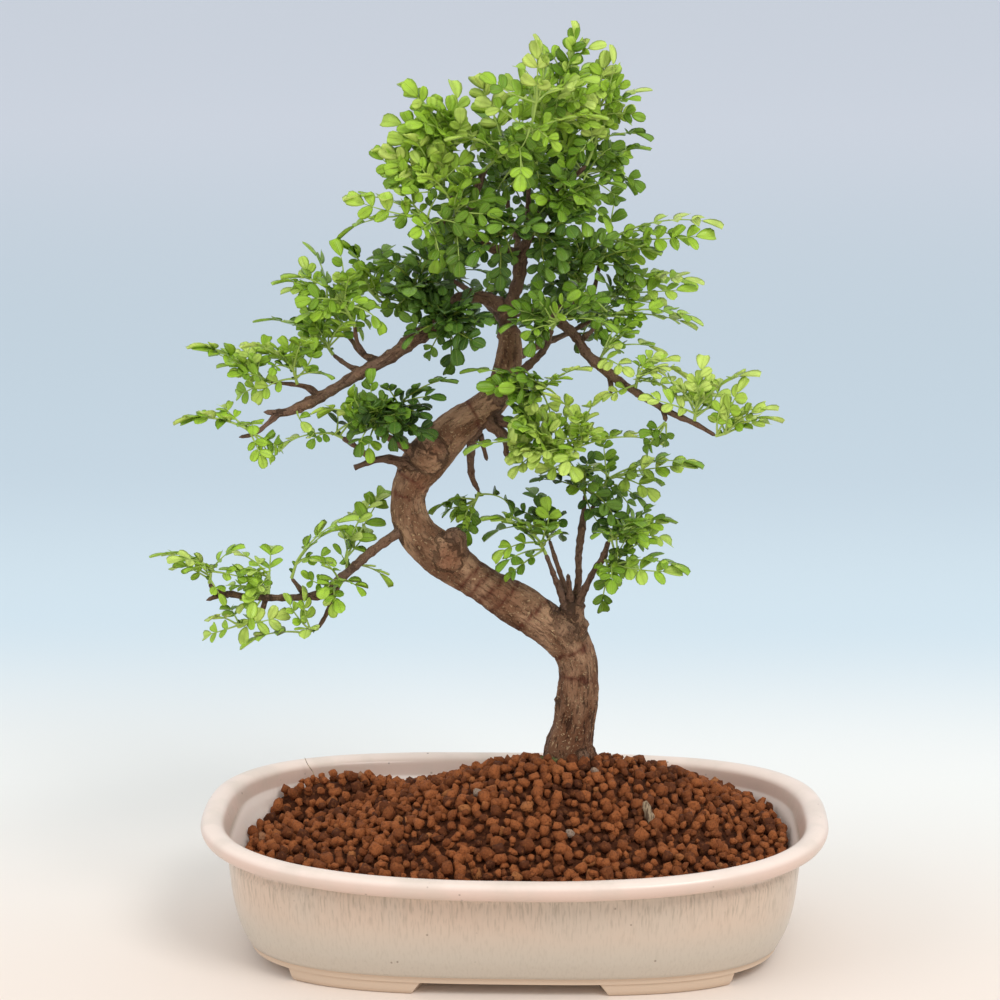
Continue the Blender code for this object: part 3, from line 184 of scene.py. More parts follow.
# Sprays: the place inside the wood that the shoot grows from, the shoot's points, then its compound
# leaves, by their tips: the one at its end as (x, y, z, roll in degrees) and each other as (share of
# the way along the shoot, x, y, z, roll).
SPRAYS: dict[str, tuple] = {
    "low_tip": ((-100, -14, 124), [(-99, -14.5, 129)], [
        (-118.5, -21, 135, 10), (0.45, -114, -4, 127, -10), (0.75, -88, -14, 137, 15)]),
    "low_nub": ((-89, -10, 108.5), [(-92, -11, 109.5)], [(-100, -22, 114, 30), (0.6, -96, 3, 112, -20)]),
    "low_top": ((-81, -7, 117.5), [(-81, -5, 124)], [
        (-96, 0, 132, 0), (0.6, -82, 14, 131, 0), (0.8, -86, -20, 129, 10)]),
    "low_spur": ((-74, -4, 123.5), [(-72, -4.5, 129)], [(-51, -9, 146, 15), (0.75, -56, 8, 139, -25)]),
    "low_sub": ((-65, -8, 107), [(-69, -9.5, 106)], [(-91, -13, 102, 0), (0.5, -68, -24, 109, 0)]),
    "low_bend": ((-56, 3, 123), [(-57, 9, 127)], [(-44, 27, 148, 40), (0.5, -42, 18, 116, 0)]),
    "low_front": ((-60, 1, 120), [(-58, -5, 123)], [(-66, -16, 133, 0), (0.75, -49, -16, 121, -20)]),

    "left_tip": ((-57, 0.5, 170), [(-60, -0.5, 171.5)], [(-78, -6, 167, 0), (0.6, -60, 14, 178, 20)]),
    "left_cut": ((-45.5, -3, 173), [(-48, -6, 177)], [
        (-66, -18, 182, 30), (0.8, -53, -13, 190, 80), (0.5, -50, -20, 168, 20)]),
    "left_knot": ((-36.5, -1, 174), [(-39, -4, 177), (-37, -8, 183)], [
        (-18, -13, 192, -10), (0.85, -43, -14, 191, 20), (0.5, -38, -24, 177, 0)]),

    "upper_a": ((-80, -4, 189), [(-84, -5, 191)], [(-106, -12, 203, 20), (0.5, -94, 6, 198, -20)]),
    "upper_front": ((-71, -5, 188.5), [(-72, -9, 195)], [
        (-88, -17, 204, 15), (0.8, -66, -22, 207, 0), (0.4, -58, -16, 193, -20)]),
    "upper_tail": ((-84, -15, 174), [(-86.5, -18.5, 176.5)], [
        (-110, -22, 179.5, 10), (0.6, -80, -22, 164, 30)]),
    "upper_b": ((-60, 4, 197), [(-63, 5.5, 201)], [(-86, 1, 209, 10), (0.75, -76, 18, 207, -10)]),
    "upper_c": ((-58, 10, 206), [(-61, 11, 211), (-63, 12, 215)], [
        (-80, 5, 221, 10), (0.85, -70, 18, 233, 30)]),
    "upper_d": ((-52, -5, 208), [(-54, -8, 213), (-56, -9, 217)], [
        (-75, -14, 226, 0), (0.8, -50, -22, 229, 10), (0.5, -70, -20, 212, 0)]),
    "upper_e": ((-45, 14, 213), [(-49, 15, 217)], [(-58, 14, 234, 20), (0.8, -42, 28, 231, 0)]),
    "upper_inner": ((-31, 11, 212), [(-33, 8, 219)], [
        (-45, -4, 230, 10), (0.8, -24, 4, 234, -20), (0.5, -34, -12, 220, 0)]),
    "upper_root": ((-25, 8, 208), [(-22, 1, 208)], [
        (-14, -14, 214, 0), (0.8, -36, -12, 202, 10), (0.5, -18, -10, 196, 0)]),

    "mid_right": ((17, -6, 166.5), [(21, -8, 169), (22, -10, 173)], [
        (10, -20, 190, 0), (0.85, 30, -16, 190, 0), (0.3, 50, -12, 171, 0), (0.6, 16, -28, 164, 0)]),
    "mid_right_low": ((9, -2, 166), [(9, -7, 168.5)], [(-17, -13, 168, 0), (0.75, 3, -22, 178, 0)]),
    "mid_front": ((7, -2, 183), [(8.5, -4.5, 187)], [(-18, -9, 194, 0), (0.7, 25, -12, 196, 0)]),
    "mid_top": ((12, -2, 207), [(14, -5, 210)], [(34, -12, 208, 0), (0.75, -5, -14, 208, 0)]),

    "right_spur": ((29, 10, 209), [(32, 10, 210)], [(62, 8, 207, 10), (0.6, 38, 24, 204, 0)]),
    "right_a": ((27, -2.5, 195.2), [(29, 3, 199)], [(50, 12, 197, 0), (0.7, 40, -4, 207, 0)]),
    "right_b": ((39, -9, 187.5), [(40, -8, 193)], [(57, 2, 191, 0), (0.75, 50, -20, 197, 0)]),
    "right_c": ((58, -18.5, 179), [(58.5, -18, 184)], [(61, -13, 201, 20), (0.75, 78, -30, 198, 10)]),
    "right_tip": ((65, -22, 175.5), [(68, -22.5, 176.5)], [(84, -31, 187, 10), (0.6, 87, -14, 180, -10)]),

    "far_top": ((28, 24, 228), [(31, 23.5, 233)], [
        (68, 12, 239, 10), (0.4, 46, 30, 228, 0), (0.8, 34, 36, 250, 0)]),
    "far_end": ((31, 24, 213), [(34, 24.5, 215)], [(62, 14, 220, 10), (0.6, 50, 42, 214, 0)]),
    "far_inner": ((22, 21, 213), [(21, 17, 219), (21, 16, 228)], [
        (20, 20, 249, 30), (0.7, 48, 8, 231, 0), (0.4, 8, 0, 226, 0)]),

    "crown_top": ((4, 5, 256), [(9, 4, 268), (14, 4, 284)], [
        (19, 2, 306, 60), (0.7, 26, 16, 292, 0), (0.45, 0, 14, 282, 0)]),
    "crown_front": ((-10, 2, 258), [(-7, -2, 261), (4, -12, 271), (7, -16, 281)], [
        (7, -21, 303, 80), (0.5, 30, -20, 277, 0), (0.3, -22, -16, 270, 0)]),
    "crown_tip": ((23, 8, 259), [(26, 8, 267), (27, 7, 278)], [
        (31, 5, 298, 60), (0.8, 44, 10, 284, 10), (0.4, 44, -4, 269, 0)]),
    "crown_right": ((19, 8.4, 255), [(26, 13, 257)], [(44, 20, 264, 0), (0.75, 40, 16, 249, 0)]),
    "crown_low": ((11, 9, 247), [(16, 3, 249)], [(36, -4, 254, 0), (0.75, 18, -16, 256, 0)]),
    "crown_high": ((4, 6.5, 251), [(0, -1, 257), (-4, -5, 268)], [
        (-13, -10, 290, 50), (0.8, 2, -6, 292, 60)]),
    "crown_mid": ((-20, 4, 259), [(-21, 3.5, 266)], [
        (-37, -6, 287, 30), (0.8, -20, 8, 287, 40), (0.5, -38, 12, 272, 0)]),
    "crown_left": ((-21, 2, 249), [(-26, -2, 253)], [
        (-46, -6, 266, 10), (0.8, -34, -16, 272, 10), (0.5, -44, 10, 256, 0)]),
    "crown_face": ((-19, -2.5, 240.5), [(-19, -9, 246)], [(-30, -22, 260, 0), (0.8, -10, -24, 262, 0)]),
    "crown_side": ((-26, -6, 242), [(-30, -7, 243.5)], [(-55, -14, 251, 0), (0.7, -58, -5, 237, 0)]),
    "crown_heart": ((-8, 6.5, 232.2), [(-5, -1, 236), (-3, -7, 240)], [
        (2, -26, 248, 0), (0.7, -14, -20, 230, 0)]),
    "crown_fork": ((4, 9.8, 236), [(10, 2, 237)], [(24, -12, 244, 0), (0.7, 16, -12, 231, 0)]),

    "back_top": ((-4, 37, 249), [(-5, 40, 254)], [(-14, 46, 274, 0), (0.8, 8, 52, 262, 0)]),
    "back_high": ((16, 32, 250), [(18, 34, 255)], [(12, 34, 279, 0), (0.8, 36, 42, 258, 0)]),
    "back_left": ((-25, 40, 218), [(-29, 42, 220)], [
        (-52, 44, 224, 0), (0.8, -32, 62, 226, 0), (0.5, -22, 48, 238, 0)]),
    "back_right": ((25, 41, 203), [(28, 43, 205)], [
        (50, 52, 208, 0), (0.8, 26, 64, 208, 0), (0.4, 20, 52, 190, 0)]),

    "collar_a": ((10, 6, 130), [(8.5, 4, 134)], [
        (-11, -5, 145, 10), (0.8, 12, -14, 144, 0), (0.4, -6, -6, 127, 0)]),
    "collar_b": ((11, 22, 131), [(9.5, 23, 135)], [(-12, 18, 132, 0), (0.75, 4, 40, 146, 0)]),
    "collar_d": ((23, 18, 148), [(22, 17.5, 152)], [
        (8, 6, 158, 0), (0.8, 26, 0, 162, 0), (0.6, 14, 36, 158, 0)]),
    "collar_e": ((29, 25, 149), [(32, 26, 152)], [
        (63, 17, 158, 0), (0.75, 50, 36, 148, 0), (0.4, 44, 18, 143, 0)]),
    "collar_f": ((31, 4, 135), [(34, 3, 137)], [(54, 10, 141, 0), (0.75, 42, -14, 145, 0)]),
    "collar_g": ((29, 7, 128), [(33, 3, 127)], [(58, -6, 127, 0), (0.7, 32, -12, 121, 0)]),
    "hanging": ((-12.5, 20, 147.5), [(-14, 21.5, 144)], [(-18, 27, 127, 0), (0.8, -30, 32, 138, 0)]),
}

# Tips of further compound leaves seen in the photograph, each with its tint from dark to pale.
READINGS: list[Row] = [
    (-103, -16, 131, .6), (-110, -18, 133, .6), (-97, -14, 129, .5), (-50, 24, 135, .7), (-43, 24, 147, .8),
    (-90, -12, 102, .6), (-91, -14, 114, .7), (-84, -2, 108, .6), (-94, -20, 118, .7), (-60, 0, 134, .5),
    (-64, -8, 131, .5), (-104, -12, 202, .6), (-85, 4, 198, .6), (-71, 4, 202, .7), (-81, 2, 204, .7),
    (-89, 0, 202, .7), (-108, -20, 179, .6), (-78, -14, 164, .7), (-66, -20, 176, .7), (-75, -6, 167, .6),
    (-47, -12, 164, .6), (-57, -4, 182, .5), (-52, 4, 185, .5), (-39, -12, 185, .4), (-22, 2, 190, .1),
    (-31, -10, 189, .1), (-22, -14, 186, .1), (-36, -16, 182, .2), (-70, 4, 217, .7), (-78, 10, 217, .8),
    (-71, 14, 228, .8), (-54, 18, 225, .6), (-55, 0, 216, .5), (-65, -18, 212, .6), (-59, -14, 219, .7),
    (-47, -18, 218, .6), (-72, 14, 205, .6), (-71, -6, 200, .5), (-54, 24, 222, .5), (-39, 6, 223, .5),
    (-37, -6, 220, .4), (66, 12, 236, .7), (60, 14, 218, .7), (42, 14, 226, .6), (46, 10, 229, .6),
    (60, 8, 206, .6), (60, -14, 196, .6), (74, -30, 196, .7), (80, -30, 187, .7), (83, -14, 179, .7),
    (26, 10, 201, .3), (34, 12, 197, .4), (46, 6, 195, .5), (57, -4, 188, .5), (47, -16, 191, .6),
    (40, -20, 175, .3), (45, -18, 171, .2), (49, -14, 170, .2), (42, -12, 167, .2), (15, 4, 283, .6),
    (19, 2, 304, .3), (7, -21, 301, .9), (-11, -14, 290, .6), (0, -6, 293, .6), (26, 6, 289, .6),
    (29, 6, 296, .7), (33, 10, 291, .6), (38, 14, 272, .6), (38, 18, 262, .5), (36, 20, 256, .5),
    (34, 4, 254, .5), (40, 0, 281, .6), (-35, -10, 287, .7), (-21, 0, 282, .6), (-34, -16, 274, .7),
    (-38, 6, 269, .6), (-30, 10, 269, .5), (-43, -8, 266, .7), (-54, -14, 251, .7), (-58, -8, 237, .6),
    (-4, -20, 266, .7), (15, -18, 266, .6), (2, -24, 254, .5), (-14, -20, 257, .5), (21, -16, 250, .5),
    (10, -24, 242, .5), (-7, -28, 242, .5), (23, 16, 223, .5), (29, 20, 237, .6), (8, -16, 190, .8),
    (15, -10, 191, .8), (28, -10, 185, .8), (28, -14, 172, .8), (15, -12, 167, .7), (20, -24, 181, .8),
    (5, -18, 176, .7), (-20, 26, 140, .3), (-23, 24, 137, .3), (-17, 16, 130, .3), (-26, 34, 138, .3),
    (-8, -4, 144, .7), (-8, 2, 128, .6), (10, 4, 150, .6), (18, 10, 157, .5), (56, -6, 127, .6),
    (51, 10, 141, .7), (53, 14, 132, .6), (48, 18, 146, .7), (40, 26, 136, .4), (61, 18, 158, .7),
    (28, 0, 124, .5), (44, -8, 136, .6), (42, 10, 124, .5),
]

# Rounded masses of leaves: middle, half-sizes, how many leaves they take and their tint.
CLUMPS: list[Row] = [
    (17, 2, 286, 24, 18, 18, 34, .74), (-29, -2, 264, 20, 17, 20, 36, .70), (3, 4, 254, 32, 24, 20, 44, .27),
    (-54, 4, 213, 24, 18, 17, 32, .50), (-16, 0, 216, 24, 20, 18, 46, .26), (24, 8, 222, 20, 20, 22, 26, .36),
    (55, -14, 188, 28, 14, 13, 8, .86), (13, -8, 172, 23, 16, 18, 30, .80),
    (-38, -6, 176, 20, 14, 13, 24, .20),
    (-88, -8, 190, 20, 12, 16, 7, .70), (-82, -8, 118, 30, 14, 14, 7, .68), (24, 8, 140, 30, 22, 18, 22, .38),
    (-2, 30, 235, 32, 22, 28, 36, .32), (4, 40, 205, 36, 18, 16, 24, .36), (60, 12, 222, 14, 16, 20, 3, .80),
    (-4, -12, 190, 15, 9, 20, 20, .34), (5, -10, 240, 26, 14, 12, 12, .28),
]

# Seeded leaves where a spray takes more or fewer than the usual number.
FILL: dict[str, int] = {
    "crown_top": 5, "crown_front": 5, "crown_tip": 5, "crown_right": 5, "crown_low": 5, "crown_high": 6,
    "crown_mid": 6, "crown_left": 5, "crown_face": 4, "crown_side": 3, "crown_heart": 5, "crown_fork": 5,
    "back_top": 6, "back_high": 6, "back_left": 5, "back_right": 5, "low_nub": 1, "low_bend": 1, "hanging": 1,
    "left_tip": 1, "low_sub": 1, "low_spur": 1, "upper_tail": 1, "mid_right_low": 2,
}

# Knots on the trunk: the middle, the way they stick out and their radius.
KNOTS: list[Row] = [
    (-28, 9, 163, -6.5, -6.0, 3.0, 4.8), (-24, 8.5, 128, 1.6, -2.0, 2.6, 4.6),
    (15, 13, 101, 3.5, -1.5, 5.0, 3.6), (16, 17, 76, -3.0, -1.0, 0.6, 2.1),
    (-5, 11, 181, -2.6, -2.0, 0.5, 2.4), (22, 14, 57, 2.0, -2.5, 0.0, 2.6),
]

# Rusty orange patches of the bark: the place, how far it reaches and how strong it is.
RUST_SPOTS: list[tuple[Row, float, float]] = [
    ((-22, 6, 128), 7, 0.9), ((-4, 7, 114), 8, 0.8), ((-31, 6, 152), 6, 0.8), ((-27, 5, 166), 5, 0.7),
    ((17, 12, 84), 7, 0.4),
]


def at(x: Number, y: Number, z: Number) -> Vector:
    """A place in the tables, as a vector in metres of the frame."""
    return Vector(((x + POT_SHIFT) * MM, y * MM, (z + POT_LIFT) * MM))


def mesh_object(name: str, verts: Iterable, faces: Iterable, edges: Iterable = ()) -> Piece:
    """Makes an object at the origin, smooth shaded, with its faces turned outwards.

    Args:
        name: the object's name.
        verts: places in metres.
        faces: tuples of vertex numbers.
        edges: pairs of vertex numbers for what has no faces.

    Returns:
        The new object, linked to the scene.
    """
    mesh = bpy.data.meshes.new(name)
    mesh.from_pydata([tuple(v) for v in verts], list(edges), list(faces))
    if len(mesh.polygons):
        shape = bmesh.new()
        shape.from_mesh(mesh)
        bmesh.ops.recalc_face_normals(shape, faces=shape.faces)
        shape.to_mesh(mesh)
        shape.free()
        mesh.shade_smooth()
    made = bpy.data.objects.new(name, mesh)
    bpy.context.scene.collection.objects.link(made)
    return made


def loft(rings: Sequence[Sequence[Vector]]) -> tuple[list[Vector], Faces]:
    """Makes a skin through rings of the same size, closed by a face at each end.

    Args:
        rings: the places round each level, in order.

    Returns:
        The vertices and the faces.
    """
    count = len(rings[0])
    verts = [v for level in rings for v in level]
    faces: Faces = []
    for level in range(len(rings) - 1):
        low, high = level * count, (level + 1) * count
        for i in range(count):
            j = (i + 1) % count
            faces.append((low + i, low + j, high + j, high + i))
    faces.append(tuple(range(count)))
    faces.append(tuple(range((len(rings) - 1) * count, len(rings) * count)))
    return verts, faces


class Join(Enum):
    """How other objects meet a base, as the Boolean's operation and solver."""

    ADD = ("UNION", "EXACT")
    CUT = ("DIFFERENCE", "EXACT")
    FUSE = ("UNION", "MANIFOLD")


def combine(base: Piece, others: list[Piece], join: Join) -> None:
    """Adds other objects to the base, or cuts them out of it, and removes them.

    Args:
        base: the object that stays.
        others: closed objects, which are used up.
        join: how they meet the base.
    """
    group = bpy.data.collections.new(base.name + "_pieces")
    bpy.context.scene.collection.children.link(group)
    for other in others:
        bpy.context.scene.collection.objects.unlink(other)
        group.objects.link(other)
    modifier = base.modifiers.new("combine", "BOOLEAN")
    modifier.operand_type = "COLLECTION"
    modifier.collection = group
    modifier.operation, modifier.solver = join.value
    apply_modifiers(base)
    for other in others:
        bpy.data.objects.remove(other)
    bpy.data.collections.remove(group)


def apply_modifiers(piece: Piece) -> None:
    """Turns a piece into its evaluated plain mesh and takes its modifiers off.

    Args:
        piece: the object with its modifiers set.
    """
    graph = bpy.context.evaluated_depsgraph_get()
    mesh = bpy.data.meshes.new_from_object(piece.evaluated_get(graph))
    piece.modifiers.clear()
    piece.data = mesh


def smooth_rows(points: Sequence[Row], step: float) -> list[Vector]:
    """Finds places on a smooth curve through rows of numbers.

    Args:
        points: the rows, whose first three numbers are a place.
        step: about how far apart the places are, in millimetres.

    Returns:
        The rows on the curve, the first and the last point among them.
    """
    rows = [Vector(p) for p in points]
    if len(rows) == 2:
        parts = max(1, round((rows[1].to_3d() - rows[0].to_3d()).length / step))
        return [rows[0].lerp(rows[1], i / parts) for i in range(parts + 1)]
    rows = [rows[0] * 2 - rows[1]] + rows + [rows[-1] * 2 - rows[-2]]
    found: list[Vector] = []
    for k in range(1, len(rows) - 2):
        a, b, c, d = rows[k - 1:k + 3]
        parts = max(1, round((c.to_3d() - b.to_3d()).length / step))
        for i in range(parts):
            t = i / parts
            found.append(0.5 * (
                2 * b + (c - a) * t + (2 * a - 5 * b + 4 * c - d) * t * t
                + (3 * b - a - 3 * c + d) * t * t * t
            ))
    found.append(rows[-2])
    return found


def along_path(points: Sequence[Vector], share: float) -> Vector:
    """Finds the place this share of the way along a chain of points.

    Args:
        points: the chain.
        share: 0 at its start and 1 at its end.

    Returns:
        The place.
    """
    lengths = [(b - a).length for a, b in zip(points, points[1:])]
    left = share * sum(lengths)
    for a, b, length in zip(points, points[1:], lengths):
        if left <= length:
            return a.lerp(b, left / length)
        left -= length
    return points[-1]


def any_way(draw: random.Random) -> Vector:
    """A random direction, as even one way as another."""
    return Vector([draw.gauss(0, 1) for _ in range(3)]).normalized()


def soft_step(value: float, low: float, high: float) -> float:
    """0 below low, 1 above high and a smooth rise between them."""
    share = min(1.0, max(0.0, (value - low) / (high - low)))
    return share * share * (3 - 2 * share)


def bell(value: float, middle: float, spread: float) -> float:
    """A rounded bump of height 1 at the middle."""
    return math.exp(-((value - middle) / spread) ** 2)


class Graph:
    """A node tree under construction, with short ways to add and join its nodes."""

    def __init__(self, tree: bpy.types.NodeTree) -> None:
        """Keeps the tree that the nodes go into."""
        self.tree = tree

    def add(self, kind: str, feeds: dict | None = None, **settings: object) -> bpy.types.Node:
        """Adds a node.

        Args:
            kind: Blender's name for the node type.
            feeds: input name or number to a socket or a constant.
            settings: the node's own options.

        Returns:
            The new node.
        """
        node = self.tree.nodes.new(kind)
        for key, value in settings.items():
            setattr(node, key, value)
        for key, value in (feeds or {}).items():
            self.feed(node.inputs[key], value)
        return node

    def feed(self, socket: bpy.types.NodeSocket, value: object) -> None:
        """Links a socket to an input, or sets the input's own value.

        Args:
            socket: the input.
            value: another node's socket, or a constant; a colour may come without its alpha.
        """
        if isinstance(value, bpy.types.NodeSocket):
            self.tree.links.new(value, socket)
        elif isinstance(value, tuple) and socket.type == "RGBA" and len(value) == 3:
            socket.default_value = (*value, 1.0)
        else:
            socket.default_value = value

    def math(self, operation: str, first: object, second: object = 0.0) -> Socket:
        """The result of a Math node."""
        return self.add("ShaderNodeMath", {0: first, 1: second}, operation=operation).outputs[0]

    def times(self, first: object, second: object) -> Socket:
        """The product of two values."""
        return self.math("MULTIPLY", first, second)

    def plus(self, first: object, second: object) -> Socket:
        """The sum of two values."""
        return self.math("ADD", first, second)

    def flip(self, mask: object) -> Socket:
        """The mask turned over, so that 0 becomes 1."""
        return self.math("SUBTRACT", 1.0, mask)

    def rise(self, value: object, low: object, high: object) -> Socket:
        """0 below low, 1 above high and a smooth rise between them."""
        feeds = {"Value": value, "From Min": low, "From Max": high}
        return self.add("ShaderNodeMapRange", feeds, interpolation_type="SMOOTHSTEP").outputs["Result"]

    def blend(self, share: object, first: object, second: object) -> Socket:
        """One colour going over to another by a share."""
        return self.add("ShaderNodeMix", {0: share, 6: first, 7: second}, data_type="RGBA").outputs[2]

    def here(self) -> Socket:
        """The Object coordinates."""
        return self.add("ShaderNodeTexCoord").outputs["Object"]

    def drawn_out(self, place: Socket, squeeze: float) -> Socket:
        """The place with its Z squeezed, which draws a pattern out along Z."""
        return self.add("ShaderNodeMapping", {"Vector": place, "Scale": (1.0, 1.0, squeeze)}).outputs[0]

    def kept(self, name: str, output: str = "Fac") -> Socket:
        """A value that the mesh keeps under this name."""
        return self.add("ShaderNodeAttribute", attribute_name=name).outputs[output]

    def paint(self, skin: bpy.types.Node, color: Socket) -> None:
        """Feeds the shader's Base Color."""
        self.feed(skin.inputs["Base Color"], color)

    def bump(self, skin: bpy.types.Node, height: Socket, depth: float) -> None:
        """Feeds the shader's Normal from a height, whose full range is this deep in metres."""
        made = self.add("ShaderNodeBump", {"Height": height, "Distance": depth})
        self.feed(skin.inputs["Normal"], made.outputs["Normal"])

    def group(self, effect: Effect, place: Socket, sizes: Sequence[float]) -> Socket:
        """Places a shared effect.

        Args:
            effect: which one.
            place: the coordinates that it reads.
            sizes: a value for each of its other inputs.

        Returns:
            The effect's output.
        """
        node = self.add("ShaderNodeGroup")
        node.node_tree = effect_tree(effect)
        for key, value in zip(("Vector", *effect.value), (place, *sizes)):
            self.feed(node.inputs[key], value)
        return node.outputs[0]

    def patches(self, place: Socket, *sizes: float) -> Socket:
        """A mask of cloudy patches: scale, detail, and the noise values where it is 0 and where 1."""
        return self.group(Effect.PATCHES, place, sizes)

    def relief(self, place: Socket, *sizes: float) -> Socket:
        """A height of coarse noise with fine noise on it: both scales, and the fine one's share."""
        return self.group(Effect.RELIEF, place, sizes)

    def dress(self, geometry: Socket, finish: Material) -> bpy.types.NodeTree:
        """Ends a geometry tree with real, smooth and dressed meshes.

        Args:
            geometry: what the tree has made.
            finish: its material.

        Returns:
            The tree.
        """
        real = self.add("GeometryNodeRealizeInstances", {0: geometry})
        smooth = self.add("GeometryNodeSetShadeSmooth", {"Geometry": real.outputs[0]})
        dressed = self.add("GeometryNodeSetMaterial", {"Geometry": smooth.outputs[0], "Material": finish})
        self.add("NodeGroupOutput", {0: dressed.outputs[0]})
        return self.tree


class Effect(Enum):
    """The shader effects that several finishes share, by their inputs besides the place."""

    PATCHES = ("Scale", "Detail", "Low", "High")
    RELIEF = ("Coarse", "Fine", "Fine Share")


def effect_tree(effect: Effect) -> bpy.types.NodeTree:
    """Finds the node group of a shared effect, and builds it the first time.

    Args:
        effect: which one.

    Returns:
        The group, with named inputs and one output.
    """
    if effect.name in bpy.data.node_groups:
        return bpy.data.node_groups[effect.name]
    tree = bpy.data.node_groups.new(effect.name, "ShaderNodeTree")
    sockets = [("Vector", "INPUT", "Vector"), *((name, "INPUT", "Float") for name in effect.value),
               ("Result", "OUTPUT", "Float")]
    for name, way, kind in sockets:
        tree.interface.new_socket(name, in_out=way, socket_type="NodeSocket" + kind)
    graph = Graph(tree)
    source = graph.add("NodeGroupInput").outputs

    def cloud(scale: Socket, detail: object) -> Socket:
        """Noise of a scale and a detail."""
        feeds = {"Vector": source["Vector"], "Scale": scale, "Detail": detail}
        return graph.add("ShaderNodeTexNoise", feeds).outputs["Fac"]

    if effect is Effect.PATCHES:
        result = graph.rise(cloud(source["Scale"], source["Detail"]), source["Low"], source["High"])
    else:
        fine = graph.times(cloud(source["Fine"], 3.0), source["Fine Share"])
        result = graph.plus(cloud(source["Coarse"], 4.0), fine)
    graph.add("NodeGroupOutput", {0: result})
    return tree


@dataclass(frozen=True)
class Glaze:
    """The pot's finish: pink-cream lip, grey-cream body with fine upright streaks, bare foot, a painted
    shadow under the lip, and an inner wall whose pink cream is painted paler as painted light against its
    shade.

    Edges and bands are heights in metres; the inner wall's inset, level and lean are in millimetres.
    """

    lip: Color = (0.71, 0.54, 0.46)
    lip_pale: Color = (0.88, 0.74, 0.66)
    body: Color = (0.64, 0.50, 0.395)
    body_grey: Color = (0.56, 0.50, 0.42)
    streak: Color = (0.27, 0.22, 0.16)
    speck: Color = (0.16, 0.11, 0.08)
    bare: Color = (0.62, 0.48, 0.36)
    # The inner wall's colour: the glaze's pink cream pushed paler, as painted light that lifts the shade on
    # the inner wall.
    inner: Color = (0.93, 0.82, 0.75)
    lip_edge: float = 0.0372
    bare_edge: float = 0.0068
    grey_band: tuple[float, float] = (0.0125, 0.030)
    streaks: tuple[float, float] = (0.0185, 0.0370)
    # Heights of a dark band just under the lip's edge: a painted shadow.
    lip_shadow_band: tuple[float, float] = (0.0350, 0.0364)
    inner_inset: float = 10.4
    inner_level: float = 34.0
    inner_lean: float = 0.19

    def make(self) -> Material:
        """Builds the material from Object coordinates.

        Returns:
            The material.
        """
        made, graph, skin = new_material("cream_glaze", roughness=0.3, coat=0.15, coat_roughness=0.15)
        place = graph.here()
        spot = graph.add("ShaderNodeSeparateXYZ", {0: place})
        off_middle = graph.math("SUBTRACT", spot.outputs["X"], POT_SHIFT * MM)
        across = graph.times(off_middle, 2 / (POT_WIDTH * MM))
        rise = graph.times(graph.times(across, across), RIM_RISE * MM)
        above = graph.rise(spot.outputs["Z"], 0.0340, 0.0370)
        height = graph.math("SUBTRACT", spot.outputs["Z"], graph.times(rise, above))
        tall = graph.drawn_out(place, 0.10)
        low_tall = graph.drawn_out(place, 0.16)
        lip = graph.rise(height, self.lip_edge - 0.0007, self.lip_edge + 0.0005)
        near_lip = graph.rise(height, *self.streaks)
        cloud = graph.patches(low_tall, 42.0, 4.0, 0.38, 0.66)
        fine = graph.patches(tall, 1500.0, 4.0, 0.46, 0.70)
        broad = graph.patches(tall, 640.0, 4.0, 0.50, 0.72)
        lower = graph.flip(graph.rise(height, *self.grey_band))
        body = graph.blend(graph.math("MAXIMUM", graph.times(cloud, 0.5), lower), self.body, self.body_grey)
        fading = graph.plus(graph.times(near_lip, 0.40), 0.12)
        body = graph.blend(graph.times(fine, fading), body, self.streak)
        body = graph.blend(graph.times(broad, graph.times(near_lip, 0.26)), body, self.streak)
        # Painted shadow under the lip: the streak colour laid in a narrow band below the lip's edge.
        line = graph.times(graph.rise(height, *self.lip_shadow_band), graph.flip(lip))
        body = graph.blend(graph.times(line, 0.35), body, self.streak)
        # Painted light on the flared inner wall: the pale inner colour lifts the shade that falls there, over
        # the glaze's own pink cream.
        inset = graph.math("SUBTRACT", (self.inner_inset + self.inner_lean * self.inner_level) * MM,
                           graph.times(spot.outputs["Z"], self.inner_lean))
        terms = []
        for half, off in ((POT_WIDTH / 2, off_middle), (POT_DEPTH / 2, spot.outputs["Y"])):
            reach = graph.math("SUBTRACT", half * MM, inset)
            share = graph.math("DIVIDE", graph.math("ABSOLUTE", off), reach)
            terms.append(graph.math("POWER", share, WALL_POWER))
        inside = graph.flip(graph.rise(graph.plus(*terms), 0.975, 1.005))
        body = graph.blend(inside, body, self.inner)
        rim = graph.blend(graph.rise(height, 0.0412, 0.0432), self.lip, self.lip_pale)
        cloud_rim = graph.patches(place, 70.0, 4.0, 0.4, 0.66)
        rim = graph.blend(graph.times(cloud_rim, 0.3), rim, self.body_grey)
        shade = graph.blend(lip, body, rim)
        dots = graph.add("ShaderNodeTexVoronoi", {"Vector": place, "Scale": 230.0}).outputs["Distance"]
        rare = graph.patches(place, 120.0, 2.0, 0.55, 0.6)
        speck = graph.times(graph.flip(graph.rise(dots, 0.05, 0.13)), rare)
        shade = graph.blend(graph.times(speck, 0.65), shade, self.speck)
        bare = graph.flip(graph.rise(height, self.bare_edge - 0.0006, self.bare_edge))
        shade = graph.blend(bare, shade, self.bare)
        graph.paint(skin, shade)
        rough = graph.plus(graph.times(bare, 0.45), graph.times(fine, 0.1))
        graph.feed(skin.inputs["Roughness"], graph.plus(rough, 0.3))
        graph.bump(skin, graph.relief(tall, 160.0, 900.0, 0.35), 0.00012)
        return made


